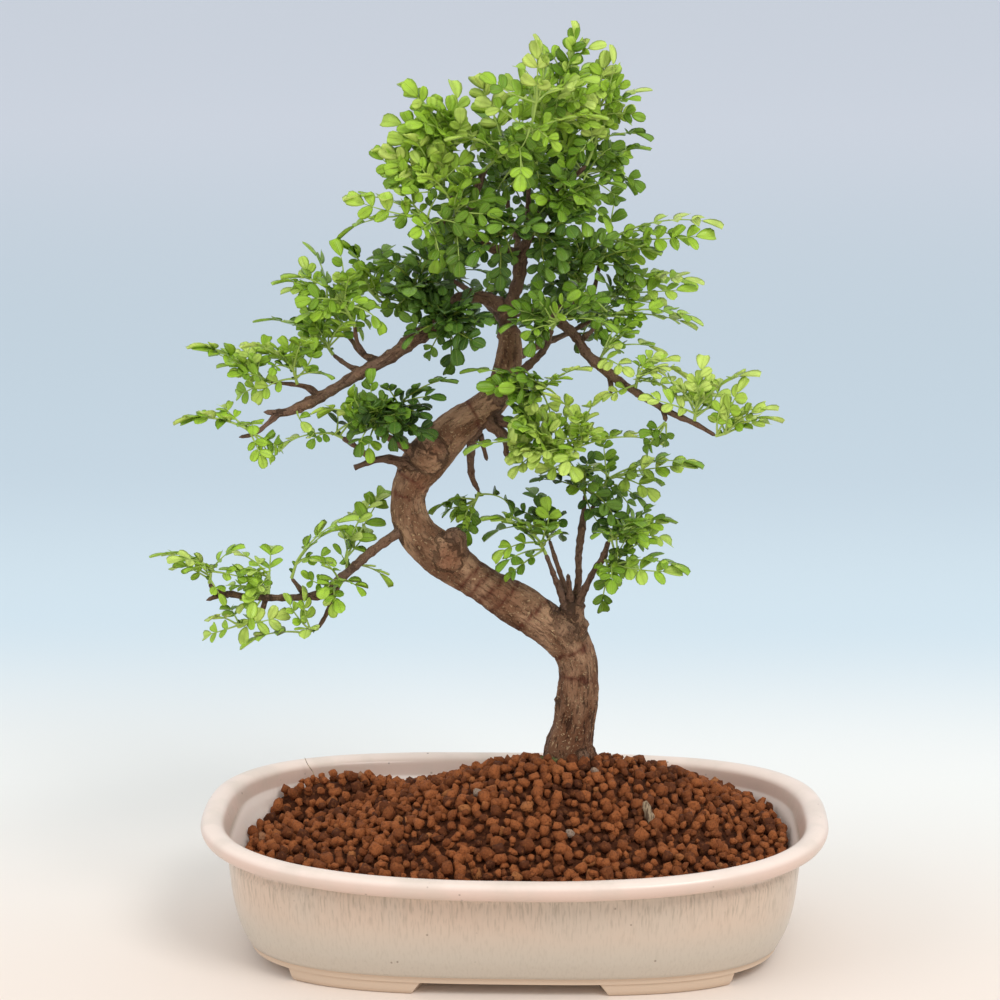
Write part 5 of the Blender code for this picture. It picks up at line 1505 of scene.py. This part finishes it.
@dataclass(frozen=True)
class Leaf:
    """The leaflets' finish: a glossy skin with a grooved midrib, fine side veins and a paler edge."""

    age: Age
    deep: Color
    middle: Color
    bright: Color
    palest: Color
    stem: Color = (0.36, 0.50, 0.11)

    def make(self) -> Material:
        """Builds the material from the places along and across each leaflet and its tint.

        Returns:
            The material.
        """
        made, graph, skin = new_material("glossy_" + self.age.value, roughness=0.36)
        place = graph.here()
        along, across, tint, blade = (graph.kept(name) for name in ("leaf_u", "leaf_v", "tint", "blade"))
        shade = self.deep
        for low, high, color in (
                (0.0, 0.42, self.middle), (0.34, 0.78, self.bright), (0.74, 1.0, self.palest)):
            shade = graph.blend(graph.rise(tint, low, high), shade, color)
        cloud = graph.patches(place, 260.0, 3.0, 0.40, 0.68)
        shade = graph.blend(graph.times(cloud, 0.28), shade, self.deep)
        off = graph.math("ABSOLUTE", across)
        wave = graph.math("SUBTRACT", graph.times(along, 7.0), graph.times(off, 2.4))
        lines = graph.math("ABSOLUTE", graph.math("SINE", graph.times(wave, math.pi)))
        vein = graph.flip(graph.rise(lines, 0.05, 0.42))
        rib = graph.flip(graph.rise(off, 0.03, 0.13))
        marks = graph.math("MAXIMUM", rib, graph.times(vein, 0.35))
        shade = graph.blend(graph.times(marks, 0.22), shade, self.palest)
        edge = graph.times(graph.rise(off, 0.84, 1.0), 0.12)
        shade = graph.blend(edge, shade, self.palest)
        shade = graph.blend(blade, self.stem, shade)
        graph.paint(skin, shade)
        graph.feed(skin.inputs["Roughness"], graph.plus(graph.times(cloud, 0.16), 0.24))
        skin.inputs["Specular IOR Level"].default_value = 0.28
        grain = graph.relief(place, 900.0, 3200.0, 0.3)
        height = graph.math("SUBTRACT", graph.times(grain, 0.35), graph.times(marks, blade))
        graph.bump(skin, height, 0.00022)
        return made


FINISHES: dict[Age, Leaf] = {
    Age.YOUNG: Leaf(Age.YOUNG, (0.046, 0.098, 0.008), (0.165, 0.330, 0.024), (0.390, 0.640, 0.050),
                    (0.620, 0.800, 0.170)),
    Age.OLD: Leaf(Age.OLD, (0.026, 0.068, 0.010), (0.085, 0.190, 0.022), (0.210, 0.385, 0.045),
                  (0.430, 0.600, 0.120), (0.20, 0.28, 0.04)),
}


@dataclass(frozen=True)
class LeafletShape:
    """One leaflet outline, a millimetre long: half-widths along it, its notch, cupping and droop."""

    name: str
    width: float
    widths: tuple[float, ...]
    notch: float = 0.0
    cup: float = 0.10
    droop: float = 0.10
    places: tuple[float, ...] = (0.09, 0.28, 0.52, 0.76, 0.94)
    thickness: float = 0.055

    def build(self) -> Piece:
        """Makes a closed lens-like leaflet of three dozen faces, with its places kept as attributes.

        Returns:
            The leaflet, in no collection.
        """
        verts, marks = [Vector((0, 0, 0))], [(0.0, 0.0)]
        for u, w in zip(self.places, self.widths):
            sag = -self.droop * u * u
            for v in (-1.0, -0.5, 0.0, 0.5, 1.0):
                rise = self.cup * v * v + (0.035 if abs(v) == 0.5 else 0.0)
                pull = -self.notch * 0.5 * (1 - abs(v)) * (u > 0.8)
                height = sag + rise * w * (self.width / 0.6)
                verts.append(Vector((u + pull, v * w * self.width / 2, height)))
                marks.append((u, v))
            verts.append(Vector((u, 0, sag - self.thickness * (0.6 + 0.4 * w))))
            marks.append((u, 0.0))
        verts.append(Vector((1 - self.notch, 0, -self.droop)))
        marks.append((1.0, 0.0))
        tip, rows = len(verts) - 1, len(self.places)
        faces: Faces = []
        per_row = 6
        last = per_row * (rows - 1)
        for c in range(4):
            faces.append((0, 1 + c, 2 + c))
            faces.append((tip, 2 + c + last, 1 + c + last))
        faces += [(0, 6, 1), (0, 5, 6), (tip, last + 1, last + 6), (tip, last + 6, last + 5)]
        for r in range(rows - 1):
            a, b = 1 + per_row * r, 1 + per_row * (r + 1)
            faces += [(a + c, b + c, b + c + 1, a + c + 1) for c in range(4)]
            faces += [(a, a + 5, b + 5, b), (a + 5, a + 4, b + 4, b + 5)]
        made = mesh_object(self.name, [v * MM for v in verts], faces)
        bpy.context.scene.collection.objects.unlink(made)
        for key, values in (("leaf_u", [m[0] for m in marks]), ("leaf_v", [m[1] for m in marks]),
                            ("blade", [1.0] * len(marks))):
            made.data.attributes.new(key, "FLOAT", "POINT").data.foreach_set("value", values)
        return made


SHAPES: list[LeafletShape] = [
    LeafletShape("leaflet_0_oval", 0.68, (0.40, 0.80, 1.0, 0.93, 0.60), 0.0, 0.08, 0.08),
    LeafletShape("leaflet_1_notched", 0.74, (0.30, 0.68, 0.94, 1.0, 0.72), 0.05, 0.12, 0.14),
    LeafletShape("leaflet_2_folded", 0.58, (0.40, 0.80, 1.0, 0.92, 0.58), 0.0, 0.30, 0.05),
    LeafletShape("leaflet_3_long", 0.56, (0.40, 0.82, 1.0, 0.90, 0.56), 0.0, 0.10, 0.20),
    LeafletShape("leaflet_4_bud", 0.50, (0.62, 1.0, 0.92, 0.66, 0.34), 0.0, 0.50, -0.05, thickness=0.26),
]
BUD = 4


@dataclass(frozen=True)
class Habit:
    """How the compound leaves grow, in millimetres, degrees and shares of their length."""

    stalk: float = 2.6
    stalk_share: float = 0.16
    leafy: float = 27.0
    smallest: float = 1.9
    growth: float = 0.215
    full: float = 24.0
    largest: float = 6.9
    spacing: float = 0.86
    missing: float = 0.035
    rib: tuple[float, float] = (0.40, 0.17)
    shoot: tuple[float, float] = (0.62, 0.44)
    bud: tuple[float, float] = (1.3, 2.1)
    bud_places: tuple[float, float] = (0.35, 0.75)
    angle: tuple[float, float] = (64.0, 46.0)


HABIT = Habit()


@dataclass
class Frond:
    """One compound leaf: its base and tip in millimetres, its roll, and how it looks."""

    base: Vector
    tip: Vector
    roll: float = 0.0
    tint: float = 0.5
    size: float = 1.0
    arch: float = 0.10
    bend: float = 0.0

    def frame(self) -> tuple[float, Vector, Vector, Vector]:
        """Works out how the leaf lies, as the part's own leaves do.

        Returns:
            Its length, axis, side and up.
        """
        axis = self.tip - self.base
        length = axis.length
        axis.normalize()
        up = Vector((0, 0, 1)) - axis * axis.z
        if up.length < 0.25:
            up = Vector((0, -1, 0)) + axis * axis.y
        up.normalize()
        turn = math.radians(self.roll)
        up = up * math.cos(turn) + axis.cross(up) * math.sin(turn)
        return length, axis, axis.cross(up), up

    def face(self, toward: Vector, jitter: float) -> None:
        """Rolls the leaf so that its upper side faces this way as far as it can.

        Args:
            toward: the direction that the leaf blade should face.
            jitter: degrees added to the roll.
        """
        self.roll = 0.0
        _, axis, _, up = self.frame()
        flat = toward - axis * toward.dot(axis)
        self.roll = math.degrees(math.atan2(flat.dot(axis.cross(up)), flat.dot(up))) + jitter

    def place(self, s: float) -> Vector:
        """Finds a place on the arched rib.

        Args:
            s: millimetres from the leaf's base.

        Returns:
            The place.
        """
        length, axis, side, up = self.frame()
        share = s / length
        bow = 4 * share * (1 - share)
        return self.base + axis * s + up * (self.arch * length * bow) + side * (self.bend * length * bow)


@dataclass
class Spray:
    """A green shoot with its compound leaves, as one piece made by the leaf tree."""

    name: str
    age: Age
    path: list[Vector]
    fronds: list[Frond]
    node: str
    seed: int
    points: list[tuple] = field(default_factory=list)
    edges: list[tuple[int, int]] = field(default_factory=list)

    def add_point(self, place: Vector, thick: float, tint: float, size: float = 0.0, kind: int = 0,
                  quat: tuple[float, ...] = (1.0, 0.0, 0.0, 0.0)) -> int:
        """Adds one vertex with everything that the leaf tree reads.

        Args:
            place: where it is.
            thick: the stem's radius there.
            tint: from dark to pale.
            size: the leaflet's length, or 0 for a point of a stem.
            kind: the leaflet's number in SHAPES.
            quat: how the leaflet is turned.

        Returns:
            The vertex's number.
        """
        self.points.append((at(*place), thick, min(1.0, max(0.0, tint)), size, kind, quat))
        return len(self.points) - 1

    def add_chain(self, places: Sequence[Vector], first: float, last: float, tint: float) -> None:
        """Adds a stem through some places.

        Args:
            places: the way that it takes.
            first: its radius at the start.
            last: its radius at the end.
            tint: from dark to pale.
        """
        before = -1
        for i, place in enumerate(places):
            share = i / (len(places) - 1)
            number = self.add_point(place, first + (last - first) * share, tint)
            if before >= 0:
                self.edges.append((before, number))
            before = number

    def add_leaflet(self, place: Vector, way: Vector, normal: Vector, size: float, kind: int,
                    tint: float) -> None:
        """Adds a leaflet.

        Args:
            place: where it leaves the rib.
            way: the direction that it leaves in.
            normal: the direction that its face looks in.
            size: its length.
            kind: its number in SHAPES.
            tint: from dark to pale.
        """
        x = way.normalized()
        z = (normal - x * normal.dot(x)).normalized()
        turn = Matrix((x, z.cross(x), z)).transposed().to_quaternion()
        self.add_point(place, 0.0, tint, size, kind, tuple(turn))

    def add_frond(self, frond: Frond, draw: random.Random) -> None:
        """Adds a compound leaf: the rib, its opposite pairs of leaflets and the one at its end.

        Args:
            frond: the leaf.
            draw: the shoot's random draws.
        """
        length, axis, side, up = frond.frame()
        stalk = max(min(HABIT.stalk, HABIT.stalk_share * length), length - HABIT.leafy)
        size = min(HABIT.largest, HABIT.smallest + HABIT.growth * min(length, HABIT.full)) * frond.size
        end_size = size * draw.uniform(0.98, 1.12)
        reach = max(1.0, length - end_size * 0.9 - stalk)
        pairs = max(1, round(reach / (size * HABIT.spacing)))
        steps = max(5, round(length / 1.6))
        stop = length - end_size * 0.96
        self.add_chain([frond.place(stop * i / steps) for i in range(steps + 1)], *HABIT.rib, frond.tint)
        for k in range(pairs):
            share = (k + 0.55) / pairs
            s = stalk + share * reach * 0.97
            ahead = (frond.place(min(s + 0.6, length)) - frond.place(max(s - 0.6, 0.0))).normalized()
            angle = HABIT.angle[0] + (HABIT.angle[1] - HABIT.angle[0]) * share
            for sign in (-1, 1):
                if draw.random() < HABIT.missing:
                    continue
                here = frond.place(s + draw.uniform(-0.45, 0.45))
                turn = math.radians(angle + draw.uniform(-9, 9))
                lift = draw.gauss(0.12, 0.12)
                way = ahead * math.cos(turn) + side * (sign * math.sin(turn)) + up * lift
                tilt = side * draw.gauss(0, 0.16) + axis * draw.gauss(0, 0.13)
                normal = up - side * (sign * 0.14) + tilt
                grown = size * (1 - 0.26 * abs(2 * share - 1.05)) * draw.uniform(0.86, 1.10)
                kind = draw.choices((0, 1, 2, 3), (5, 4, 1.6, 1.2))[0]
                tint = frond.tint + draw.gauss(0.0, 0.09) + 0.08 * share
                self.add_leaflet(here, way, normal, grown, kind, tint)
        last = (frond.place(length) - frond.place(length - 2.0)).normalized()
        kind = draw.choice((0, 1, 1))
        self.add_leaflet(frond.place(stop), last, up, end_size, kind, frond.tint + 0.14)

    def build(self, tree: bpy.types.NodeTree, finish: Material) -> None:
        """Runs the leaf tree on the shoot's chains and leaflets.

        Args:
            tree: the leaf tree of this age.
            finish: the leaves' material.
        """
        draw = random.Random(self.seed)
        self.add_chain(smooth_rows([tuple(p) for p in self.path], 1.3), *HABIT.shoot, 0.45)
        for frond in self.fronds:
            self.add_frond(frond, draw)
        for share in HABIT.bud_places:
            way = any_way(draw) + Vector((0, 0, 0.8))
            size, tint = draw.uniform(*HABIT.bud), draw.uniform(0.1, 0.6)
            self.add_leaflet(along_path(self.path, share), way, way.orthogonal(), size, BUD, tint)
        verts, thick, tints, sizes, kinds, quats = zip(*self.points)
        made = mesh_object(self.name, verts, [], self.edges)
        flags = [size > 0 for size in sizes]
        for key, kind, values in (
                ("thick", "FLOAT", thick), ("tint", "FLOAT", tints), ("size", "FLOAT", sizes),
                ("kind", "INT", kinds), ("leaflet", "BOOLEAN", flags)):
            made.data.attributes.new(key, kind, "POINT").data.foreach_set("value", values)
        turn = made.data.attributes.new("turn", "QUATERNION", "POINT")
        turn.data.foreach_set("value", [number for quat in quats for number in quat])
        run_tree(made, tree, {"Stem Size": MM, "Leaf Size": 1.0})
        for key in ("thick", "size", "kind", "leaflet", "turn"):
            if key in made.data.attributes:
                made.data.attributes.remove(made.data.attributes[key])
        finish_piece(made, finish, self.node)


def face_way(tip: Vector) -> Vector:
    """The way that a leaf faces: up in the pads, and more to the front in the crown, towards the light."""
    return Vector((0.10, -0.48, 0.86)).lerp(Vector((0.12, -0.80, 0.56)), soft_step(tip.z, 215, 255))


@dataclass(frozen=True)
class Growth:
    """How freely seeded leaves vary: tint, size, arch, sideways bend, and roll in degrees."""

    tint: float
    sizes: tuple[float, float]
    arches: tuple[float, float]
    bend: float
    roll: float

    def frond(self, draw: random.Random, base: Vector, tip: Vector, tint: float) -> Frond:
        """Grows one compound leaf that faces the light.

        Args:
            draw: the random draws.
            base: where it leaves the shoot.
            tip: where it ends.
            tint: its middle tint, from dark to pale.

        Returns:
            The leaf.
        """
        made = Frond(base, tip, 0.0, tint + draw.gauss(0, self.tint), draw.uniform(*self.sizes),
                     draw.uniform(*self.arches), draw.gauss(0, self.bend))
        made.face(face_way(tip), draw.gauss(0, self.roll))
        return made


READ = Growth(0.08, (0.9, 1.05), (0.04, 0.14), 0.05, 20)
LOOSE = Growth(0.13, (0.78, 0.98), (0.02, 0.16), 0.08, 30)
MASSED = Growth(0.13, (0.85, 1.05), (0.02, 0.16), 0.07, 26)


@dataclass
class Foliage:
    """Every spray of leaves: those of the solids, those read off the photograph, and seeded ones."""

    wood: Wood
    ground: Granules
    seed: int = 2024
    fill: int = 3
    joints: tuple[float, ...] = (0.3, 0.55, 0.8, 1.0)
    # How much paler the leaves on the right, the key light's side, are painted: painted light.
    painted_light_right: float = 0.18
    old_words: tuple[str, ...] = ("root", "inner", "knot", "heart", "fork", "collar_b", "collar_d",
                                  "back")
    sprays: list[Spray] = field(default_factory=list)
    rows: list[Vector] = field(default_factory=list)
    ends: list[Vector | None] = field(default_factory=list)
    near: KDTree | None = None

    def learn_wood(self) -> None:
        """Notes where the wood is, so that shoots start on it and leaves stay off it."""
        for stem in self.wood.stems:
            for k, row in enumerate(stem.rows):
                last = k == len(stem.rows) - 1
                self.rows.append(row)
                self.ends.append((row - stem.rows[k - 1]).to_3d().normalized() if last else None)
        self.near = KDTree(len(self.rows))
        for i, row in enumerate(self.rows):
            self.near.insert(row.to_3d(), i)
        self.near.balance()

    def clear_of_wood(self, frond: Frond) -> bool:
        """Tells whether a compound leaf keeps off the wood and the granules.

        Args:
            frond: the leaf.

        Returns:
            True where it is clear beyond its own base.
        """
        length = frond.frame()[0]
        for share in (0.35, 0.55, 0.75, 1.0):
            place = frond.place(share * length)
            for _, index, away in self.near.find_n(place, 3):
                if away < self.rows[index][3] + 2.2:
                    return False
        return place.z > self.ground.mound(place.x, place.y) + 8

    def start(self, root: Vector, toward: Vector) -> Vector:
        """Finds the place on the wood's skin where a shoot begins.

        Args:
            root: a place inside the wood.
            toward: the shoot's first point.

        Returns:
            The place.
        """
        _, index, _ = self.near.find(root)
        row, end = self.rows[index], self.ends[index]
        lead = end if end is not None else (toward - row.to_3d()).normalized()
        return row.to_3d() + lead * (row[3] * 0.55 if end is None else -0.3)

    @staticmethod
    def tint_at(place: Vector) -> float:
        """Works out the tint of leaves from the masses round them.

        Args:
            place: where the leaves are.

        Returns:
            The tint.
        """
        total, weight = 0.0, 1e-6
        for x, y, z, rx, ry, rz, _, tint in CLUMPS:
            away = Vector(((place.x - x) / rx, (place.y - y) / ry, (place.z - z) / rz)).length
            share = math.exp(-2 * away * away)
            total, weight = total + tint * share, weight + share
        return (total + 0.5e-6) / weight

    def plan(self) -> None:
        """Sets out the sprays of the solids."""
        self.learn_wood()
        draw = random.Random(self.seed)
        for number, (name, (root, points, (end, *others))) in enumerate(SPRAYS.items()):
            old = any(word in name for word in self.old_words)
            path = [self.start(Vector(root), Vector(points[0]))] + [Vector(p) for p in points]
            leaves = [(path[-1], *end, 0.08, 0.08)]
            leaves += [(along_path(path, share), *leaf, 0.0, 0.10) for share, *leaf in others]
            fronds = [
                Frond(base, Vector(tip), roll, self.tint_at(Vector(tip)) + draw.gauss(paler, spread))
                for base, *tip, roll, paler, spread in leaves]
            self.sprays.append(Spray("leaves_" + name, Age.OLD if old else Age.YOUNG, path, fronds,
                                     "spray_" + name, 100 + number))

    def add_readings(self) -> None:
        """Hangs the leaves read off the photograph on the nearest shoot or twig."""
        draw = random.Random(self.seed + 1)
        for x, y, z, tint in READINGS:
            tip = Vector((x, y, z))
            best: tuple[float, Spray, Vector] | None = None
            for spray in self.sprays:
                for share in self.joints:
                    base = along_path(spray.path, share)
                    away = (tip - base).length
                    cost = away if away > 9 else 30 - away
                    if best is None or cost < best[0]:
                        best = (cost, spray, base)
            _, index, away = self.near.find(tip)
            row = self.rows[index]
            cost, spray, base = best
            if away < cost - 3 and row[3] < 2.0 and away > 8:
                lead = (tip - row.to_3d()).normalized()
                base = row.to_3d() + lead * row[3] * 0.6
            # Painted light: leaves towards the right, where the key light is, are tinted paler.
            paler = self.painted_light_right * soft_step(x, 35, 65)
            spray.fronds.append(READ.frond(draw, base, tip, tint + paler))

    def add_fill(self) -> None:
        """Adds seeded leaves round each shoot, where they keep off the wood."""
        draw = random.Random(self.seed + 2)
        for spray in self.sprays:
            lead = sum((f.tip - f.base for f in spray.fronds), Vector()) / len(spray.fronds)
            wanted = FILL.get(spray.node.replace("spray_", ""), self.fill)
            for _ in range(40):
                if wanted <= 0:
                    break
                base = along_path(spray.path, draw.uniform(0.15, 1.0))
                way = (lead.normalized() * 0.75 + any_way(draw) + Vector((0, 0, 0.25))).normalized()
                tip = base + way * draw.uniform(11, 20)
                frond = LOOSE.frond(draw, base, tip, self.tint_at(tip))
                if self.clear_of_wood(frond):
                    spray.fronds.append(frond)
                    wanted -= 1

    def add_clumps(self) -> None:
        """Fills the rounded masses of the crown and the pads with seeded leaves."""
        draw = random.Random(self.seed + 3)
        places = [(along_path(spray.path, share), spray)
                  for spray in self.sprays for share in self.joints]
        for x, y, z, rx, ry, rz, count, tint in CLUMPS:
            left, tries = count, 0
            while left > 0 and tries < count * 12:
                tries += 1
                way = any_way(draw) * draw.random() ** 0.45
                tip = Vector((x + way.x * rx, y + way.y * ry, z + way.z * rz))
                near = sorted(((abs((tip - base).length - 16) + draw.uniform(0, 5), i)
                               for i, (base, _) in enumerate(places)))[0]
                base, spray = places[near[1]]
                _, index, away = self.near.find(tip)
                row = self.rows[index]
                if near[0] > 9 and row[3] < 2.2 and 9 < away < 26:
                    base = row.to_3d() + (tip - row.to_3d()).normalized() * row[3] * 0.6
                elif near[0] > 13:
                    continue
                frond = MASSED.frond(draw, base, tip, tint)
                if self.clear_of_wood(frond):
                    spray.fronds.append(frond)
                    left -= 1

    def leaf_tree(self, finish: Material, age: Age) -> bpy.types.NodeTree:
        """Builds the geometry nodes that turn chains into stems and marked points into leaflets.

        Args:
            finish: the leaves' material.
            age: which leaves the tree is for.

        Returns:
            The tree.
        """
        pool = bpy.data.collections.get("leaflets") or bpy.data.collections.new("leaflets")
        if not pool.objects:
            for shape in SHAPES:
                pool.objects.link(shape.build())
        graph, source = start_tree(
            "grow_" + age.value, {"Plan": "Geometry", "Stem Size": "Float", "Leaf Size": "Float"})

        def stored(name: str, kind: str) -> Socket:
            """A value kept on the plan's points."""
            node = graph.add("GeometryNodeInputNamedAttribute", {"Name": name}, data_type=kind)
            return node.outputs["Attribute"]

        chains = graph.add("GeometryNodeMeshToCurve", {"Mesh": source["Plan"]})
        ring = graph.add("GeometryNodeCurvePrimitiveCircle", {"Resolution": 6, "Radius": source["Stem Size"]})
        stems = graph.add("GeometryNodeCurveToMesh", {
            "Curve": chains.outputs[0], "Profile Curve": ring.outputs[0], "Scale": stored("thick", "FLOAT"),
            "Fill Caps": True})
        leaflets = graph.add("GeometryNodeCollectionInfo", {
            "Collection": pool, "Separate Children": True, "Reset Children": True})
        size = graph.times(stored("size", "FLOAT"), source["Leaf Size"])
        placed = graph.add("GeometryNodeInstanceOnPoints", {
            "Points": source["Plan"], "Selection": stored("leaflet", "BOOLEAN"),
            "Instance": leaflets.outputs[0], "Pick Instance": True,
            "Instance Index": stored("kind", "INT"), "Rotation": stored("turn", "QUATERNION"), "Scale": size})
        both = graph.add("GeometryNodeJoinGeometry")
        graph.feed(both.inputs[0], stems.outputs[0])
        graph.feed(both.inputs[0], placed.outputs[0])
        return graph.dress(both.outputs[0], finish)

    def build(self) -> None:
        """Makes every spray as a piece of its own."""
        self.plan()
        self.add_readings()
        self.add_fill()
        self.add_clumps()
        finishes = {age: FINISHES[age].make() for age in Age}
        trees = {age: self.leaf_tree(finishes[age], age) for age in Age}
        for spray in self.sprays:
            spray.build(trees[spray.age], finishes[spray.age])


@dataclass(frozen=True)
class Moss:
    """The finish of the moss crumbs: dull olive with lighter tips."""

    deep: Color = (0.085, 0.11, 0.03)
    pale: Color = (0.21, 0.22, 0.07)

    def make(self) -> Material:
        """Builds the material from Object coordinates.

        Returns:
            The material.
        """
        made, graph, skin = new_material("trunk_moss", roughness=0.9)
        place = graph.here()
        graph.paint(skin, graph.blend(graph.patches(place, 900.0, 3.0, 0.4, 0.64), self.deep, self.pale))
        graph.bump(skin, graph.relief(place, 2000.0, 5000.0, 0.5), 0.0004)
        return made


@dataclass
class Litter:
    """Small things on the granules: a fibre at the rim and crumbs of moss at the trunk."""

    ground: Granules
    moss_spots: tuple[Row, ...] = (
        (8.5, 12.0, 1.8), (12.5, 9.0, 1.3), (9, 26, 1.8))
    tufts: int = 45
    sunk: float = 0.8
    fibre: tuple[Row, ...] = (
        (-71.8, 45.5, 32.5, 0.16), (-71.4, 45.5, 36.5, 0.15), (-72.4, 46.5, 40, 0.14), (-74.6, 48, 43, 0.12),
        (-75.6, 49, 45, 0.1))

    def moss(self) -> None:
        """Low cushions of moss made of short upright tufts."""
        draw = random.Random(55)
        verts: list[Vector] = []
        faces: Faces = []
        for x, y, reach in self.moss_spots:
            for _ in range(self.tufts):
                turn, away = draw.uniform(0, 2 * math.pi), reach * math.sqrt(draw.random())
                px, py = x + away * math.cos(turn), y + away * math.sin(turn)
                z = self.ground.mound(px, py) + 0.6
                tall, wide = draw.uniform(0.5, 1.4) * (1.2 - 0.5 * away / reach), draw.uniform(0.22, 0.38)
                lean = Vector((draw.gauss(0, 0.25), draw.gauss(0, 0.25)))
                base = len(verts)
                for share in (0.0, 0.55):
                    for t in turns(4):
                        verts.append(at(px + lean.x * share * tall + wide * math.cos(t),
                                        py + lean.y * share * tall + wide * math.sin(t),
                                        z - self.sunk + share * (tall + self.sunk)))
                verts.append(at(px + lean.x * tall, py + lean.y * tall, z + tall))
                faces.append(tuple(base + i for i in (3, 2, 1, 0)))
                for i in range(4):
                    j = (i + 1) % 4
                    faces.append((base + i, base + j, base + 4 + j, base + 4 + i))
                    faces.append((base + 4 + i, base + 4 + j, base + 8))
        finish_piece(mesh_object("moss_crumbs", verts, faces), Moss().make())

    def build(self) -> None:
        """Makes the moss and the fibre."""
        self.moss()
        stem = Stem("stray_fibre", self.fibre, 8, 0.4, 91, node_pitch=50.0, rough=0.0, slim=0.0)
        finish_piece(stem.skin(), bpy.data.materials["dry_twig"])


@dataclass(frozen=True)
class PaintedFalloffFloor:
    """The floor's finish: warm white near the pot, going over to pale blue and blue-grey at the back, darker
    between them: painted fall-off of light over the floor.

    Each band is the distance back, in metres, where it begins and is full, and its colour.
    """

    near: Color = (0.87, 0.78, 0.71)
    # Painted fall-off of light: bands darker and bluer than the white near the pot.
    bands: tuple[tuple[float, float, Color], ...] = (
        (-0.08, 0.20, (0.88, 0.90, 0.89)), (0.16, 0.44, (0.62, 0.75, 0.84)),
        (0.42, 0.80, (0.555, 0.675, 0.775)), (0.90, 3.2, (0.70, 0.765, 0.87)))

    def make(self) -> Material:
        """Builds the material from Object coordinates.

        Returns:
            The material.
        """
        made, graph, skin = new_material("paper_floor", roughness=0.85)
        back = graph.add("ShaderNodeSeparateXYZ", {0: graph.here()}).outputs["Y"]
        shade = self.near
        for begins, full, color in self.bands:
            shade = graph.blend(graph.rise(back, begins, full), shade, color)
        graph.paint(skin, shade)
        return made


@dataclass
class Studio:
    """A pale floor that reaches past the frame, soft lights and the camera of the photograph."""

    pitch: float = 12.3
    yaw: float = 1.8
    lens: float = 108.0
    stand: tuple[float, float, float] = (25.4, -965.7, 360.0)

    def camera(self) -> None:
        """Puts the camera where the photograph was taken from."""
        data = bpy.data.cameras.new("camera")
        data.lens = self.lens
        data.sensor_width = 36.0
        data.clip_end = 60.0
        made = bpy.data.objects.new("camera", data)
        made.location = at(*self.stand)
        made.rotation_euler = (math.radians(90 - self.pitch), 0, math.radians(self.yaw))
        bpy.context.scene.collection.objects.link(made)
        bpy.context.scene.camera = made

    def light(self, name: str, place: Row, aim: Row, size: float, power: float, color: Color) -> None:
        """Adds a soft square light that faces a place.

        Args:
            name: the light's name.
            place: where it is, in metres.
            aim: what it faces.
            size: the side of the square, in metres.
            power: its power in watts.
            color: its colour.
        """
        data = bpy.data.lights.new(name, "AREA")
        data.shape = "SQUARE"
        data.size = size
        data.energy = power
        data.color = color
        made = bpy.data.objects.new(name, data)
        made.location = place
        made.rotation_euler = (Vector(aim) - Vector(place)).to_track_quat("-Z", "Y").to_euler()
        bpy.context.scene.collection.objects.link(made)

    def floor(self) -> None:
        """Lays a big floor, coloured with a painted fall-off of light."""
        corners = [(-9, -4, 0), (9, -4, 0), (9, 16, 0), (-9, 16, 0)]
        floor = mesh_object("floor", corners, [(0, 1, 2, 3)])
        floor.data.materials.append(PaintedFalloffFloor().make())

    def build(self) -> None:
        """Sets the floor, the light and the camera."""
        self.floor()
        self.camera()
        world = bpy.data.worlds.new("soft_sky")
        bpy.context.scene.world = world
        world.use_nodes = True
        sky = world.node_tree.nodes["Background"]
        sky.inputs["Color"].default_value = (1.0, 1.0, 1.0, 1.0)
        sky.inputs["Strength"].default_value = 0.80
        self.light("key", (1.0, -1.4, 1.9), (0, 0, 0.15), 1.0, 24.0, (1.0, 0.985, 0.96))
        self.light("fill", (-1.7, -1.0, 1.2), (0, 0, 0.15), 1.2, 8.0, (0.97, 0.985, 1.0))
        bpy.context.scene.view_settings.view_transform = "Standard"


def main() -> None:
    """Builds the whole dressed bonsai in order."""
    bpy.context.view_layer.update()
    Pot().build()
    ground = Granules()
    ground.build()
    wood = Wood()
    wood.build()
    DryTwig().build()
    Foliage(wood, ground).build()
    Litter(ground).build()
    Studio().build()
    LOG.info("all pieces are made")


if __name__ == "__main__":
    main()
